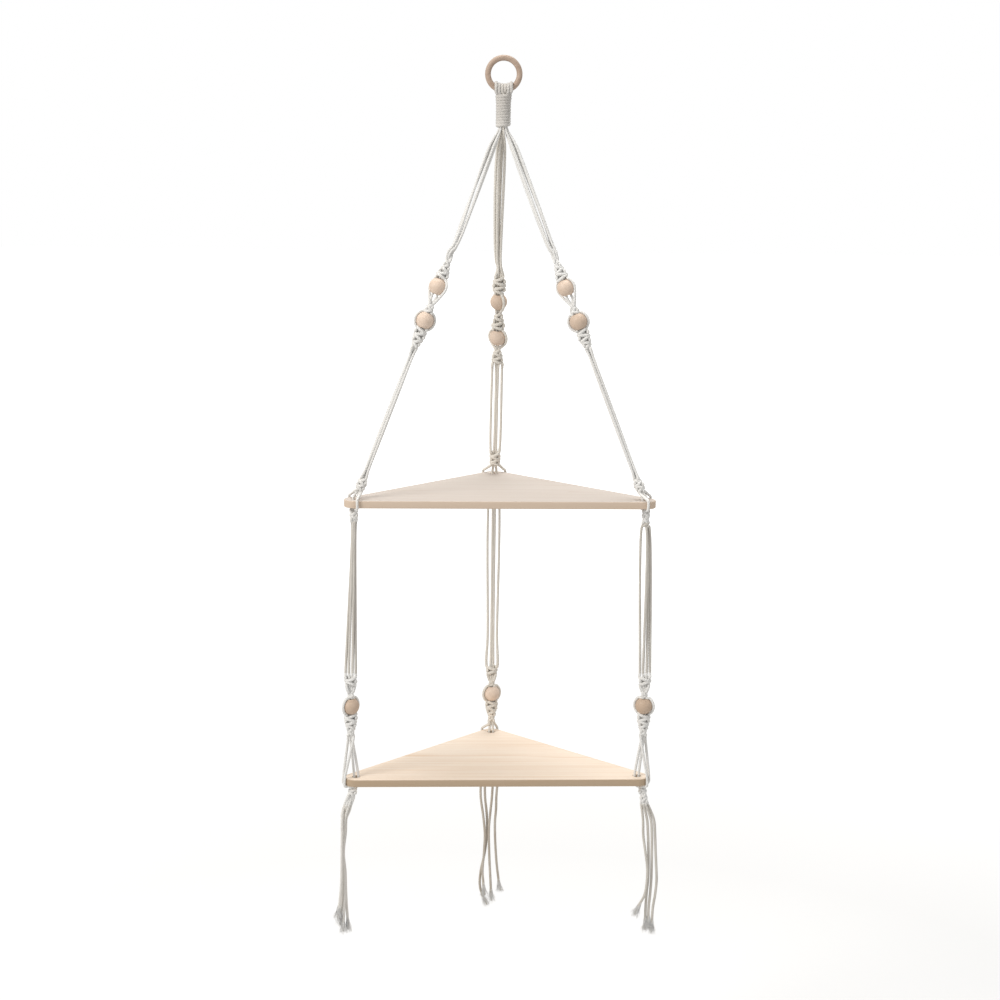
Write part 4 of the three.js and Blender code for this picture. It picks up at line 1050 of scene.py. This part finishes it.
def make_bead(node, axis, drop, body, tone, chance):
    """A turned bead with its bore along the strand. Each has its own turn and its own place in the log."""
    points, faces = lathe(bead_profile(), BEAD_SIDES)
    turn = Vector((0, 0, -1)).rotation_difference(axis.down)
    spin = Matrix.Rotation(chance.uniform(0, tau), 3, "Z")
    tilt = Matrix.Rotation(chance.uniform(*BEAD_TILTS), 3, "X") @ spin
    heart = Vector([chance.uniform(*reach) for reach in BEAD_HEARTS])
    centre = axis.at(0, 0, drop)
    places = [centre + turn @ p for p in points]
    attributes = {"grain": [tilt @ p + heart for p in points], "rim": [tone] * len(points)}
    piece = mesh_object(node + "_turned", places, faces, BEAD_WOOD, attributes)
    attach(piece, body)
    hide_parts(node)


def make_ring():
    """The turned wooden ring, which stands upright."""
    radius = RING_SECTION / 2
    profile = [(RING_MEAN_RADIUS + radius * cos(a), radius * sin(a)) for a in circle(RING_SIDES)]
    points, faces = lathe(profile, RING_STEPS)
    upright = Matrix.Rotation(pi / 2, 3, "X")
    lean = Matrix.Rotation(RING_GRAIN_LEAN, 3, "Y") @ upright
    places = [RING_CENTRE + upright @ p for p in points]
    grain = [lean @ p + RING_HEART for p in points]
    piece = mesh_object("ring_turned", places, faces, RING_WOOD, {"grain": grain})
    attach(piece, "ring")
    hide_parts("hanging_ring")


def board_outline(inset):
    """The board's rounded outline, drawn in by the inset, anticlockwise from above."""
    outline = []
    for corner in CORNERS.values():
        for i in range(BOARD_ARC_STEPS + 1):
            angle = corner.out + corner.arc_half * (2 * i / BOARD_ARC_STEPS - 1)
            outline.append(around(corner, BOARD_CORNER_RADIUS - inset, angle))
    return outline


def hole_outline(corner, widening):
    """A cord hole's edge, widened, clockwise from above, as the inside of a rim runs."""
    return [around(corner, BOARD_HOLE / 2 + widening, -angle) for angle in circle(HOLE_STEPS)]


def make_board(node, body, material, heart):
    """A board with softened edges. Its faces are flat and its rims are rounded."""
    lo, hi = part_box(node)
    rims = []
    for i in range(BOARD_EDGE_ARCS + 1):
        angle = pi / 2 * i / BOARD_EDGE_ARCS
        rims.append((BOARD_EDGE * (1 - sin(angle)), lo.z + BOARD_EDGE * (1 - cos(angle))))
    rims += [(inset, lo.z + hi.z - z) for inset, z in reversed(rims)]
    walls = [[board_outline(inset) for inset, _ in rims]]
    walls += [[hole_outline(corner, inset) for inset, _ in rims] for corner in CORNERS.values()]
    points, faces, rim = [], [], []
    bottoms, tops = [], []
    for wall in walls:
        base, sides = len(points), len(wall[0])
        for loop, (inset, z) in zip(wall, rims):
            points += [Vector((x, y, z)) for x, y in loop]
            # The rim value is the share of painted shade on the rounded edges: none on the flat faces, full
            # on the upright sides
            rim += [1 - inset / BOARD_EDGE] * sides
        faces += quads(len(rims), sides, base)
        bottoms.append(range(base, base + sides))
        tops.append(range(len(points) - sides, len(points)))
    smooth = [True] * len(faces)
    for loops, upwards in ((tops, True), (bottoms, False)):
        order = [index for loop in loops for index in loop]
        for triangle in tessellate_polygon([[points[index] for index in loop] for loop in loops]):
            a, b, c = (order[k] for k in triangle)
            normal = (points[b] - points[a]).cross(points[c] - points[a])
            faces.append((a, b, c) if (normal.z > 0) == upwards else (a, c, b))
            smooth.append(False)
    attributes = {"grain": [p - heart for p in points], "rim": rim}
    piece = mesh_object(node + "_pine", points, faces, material, attributes, smooth)
    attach(piece, body)
    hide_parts(node)


# Studio


def soft_lamp(name, place, size, power, colour):
    """A round soft lamp that faces the middle of the shelf."""
    lamp = bpy.data.lights.new(name, "AREA")
    lamp.shape = "DISK"
    lamp.size = size
    lamp.energy = power
    lamp.color = colour
    made = add_object(name, lamp)
    made.location = place
    target = Vector((0, 0, (CAD_BOX[0].z + CAD_BOX[1].z) / 2))
    made.rotation_euler = (target - Vector(place)).to_track_quat("-Z", "Y").to_euler()


def make_world():
    """A dim even light for the object, which the camera and reflections see as plain white."""
    world = bpy.data.worlds.new("studio")
    bpy.context.scene.world = world
    n = Nodes(world)
    path = n.add("ShaderNodeLightPath")
    seen = n.math("MAXIMUM", path.outputs["Is Camera Ray"], path.outputs["Is Glossy Ray"])
    seen = n.math("MAXIMUM", seen, path.outputs["Is Transmission Ray"])
    light = n.add("ShaderNodeBackground", {"Color": WORLD_COLOUR, "Strength": WORLD_LIGHT})
    white = n.add("ShaderNodeBackground", {"Color": WHITE})
    n.add("ShaderNodeOutputWorld", {"Surface": n.mix_shader(seen, light, white)})


def make_floor():
    """A pale floor under the shelf, which keeps its shadow and runs on into the white behind it."""
    material = bpy.data.materials.new("pale_floor")
    n = Nodes(material)
    matt = n.add("ShaderNodeBsdfDiffuse", {"Color": linear(FLOOR_COLOUR)})
    place = n.add("ShaderNodeNewGeometry").outputs["Position"]
    away = n.add("ShaderNodeVectorMath", {0: place}, operation="LENGTH").outputs["Value"]
    reach = {"Value": away, "From Min": FLOOR_NEAR, "From Max": FLOOR_FAR, "To Min": FLOOR_GLOW}
    fade = n.add("ShaderNodeMapRange", reach)
    glow = n.add("ShaderNodeEmission", {"Color": WHITE, "Strength": fade.outputs[0]})
    lifted = n.add("ShaderNodeAddShader", {0: matt.outputs[0], 1: glow.outputs[0]})
    seen = n.add("ShaderNodeLightPath").outputs["Is Camera Ray"]
    n.add("ShaderNodeOutputMaterial", {"Surface": n.mix_shader(seen, matt, lifted)})
    half = FLOOR_WIDTH / 2
    corners = [(x, y, FLOOR_HEIGHT) for x, y in ((-half, -half), (half, -half), (half, half), (-half, half))]
    mesh = bpy.data.meshes.new("floor")
    mesh.from_pydata(corners, [], [(0, 1, 2, 3)])
    mesh.materials.append(material)
    add_object("floor", mesh)


def make_camera():
    """The photograph's camera: a little to the left of the shelf's front, looking down at it."""
    data = bpy.data.cameras.new("camera")
    data.lens = CAMERA_LENS
    data.sensor_width = CAMERA_SENSOR
    camera = add_object("camera", data)
    heading = Matrix.Rotation(-CAMERA_YAW, 4, "Z")
    place = Matrix.Translation((CAMERA_SIDE, -CAMERA_DISTANCE, CAMERA_HEIGHT))
    tilt = Matrix.Rotation(pi / 2 - CAMERA_PITCH, 4, "X")
    roll = Matrix.Rotation(CAMERA_ROLL, 4, "Z")
    camera.matrix_world = heading @ place @ tilt @ roll
    bpy.context.scene.camera = camera


make_camera()
chances = random.Random(SEED)
for strand, where in CORNERS.items():
    make_tassel(strand, where, chances)
for strand, where in CORNERS.items():
    make_strand(strand, where, chances)
make_wrap()
make_ring()
make_board("upper_board", "upper", UPPER_PINE, UPPER_HEART)
make_board("lower_board", "lower", LOWER_PINE, LOWER_HEART)

make_world()
make_floor()
for lamp in LAMPS:
    soft_lamp(*lamp)

bpy.context.scene.view_settings.view_transform = "Standard"
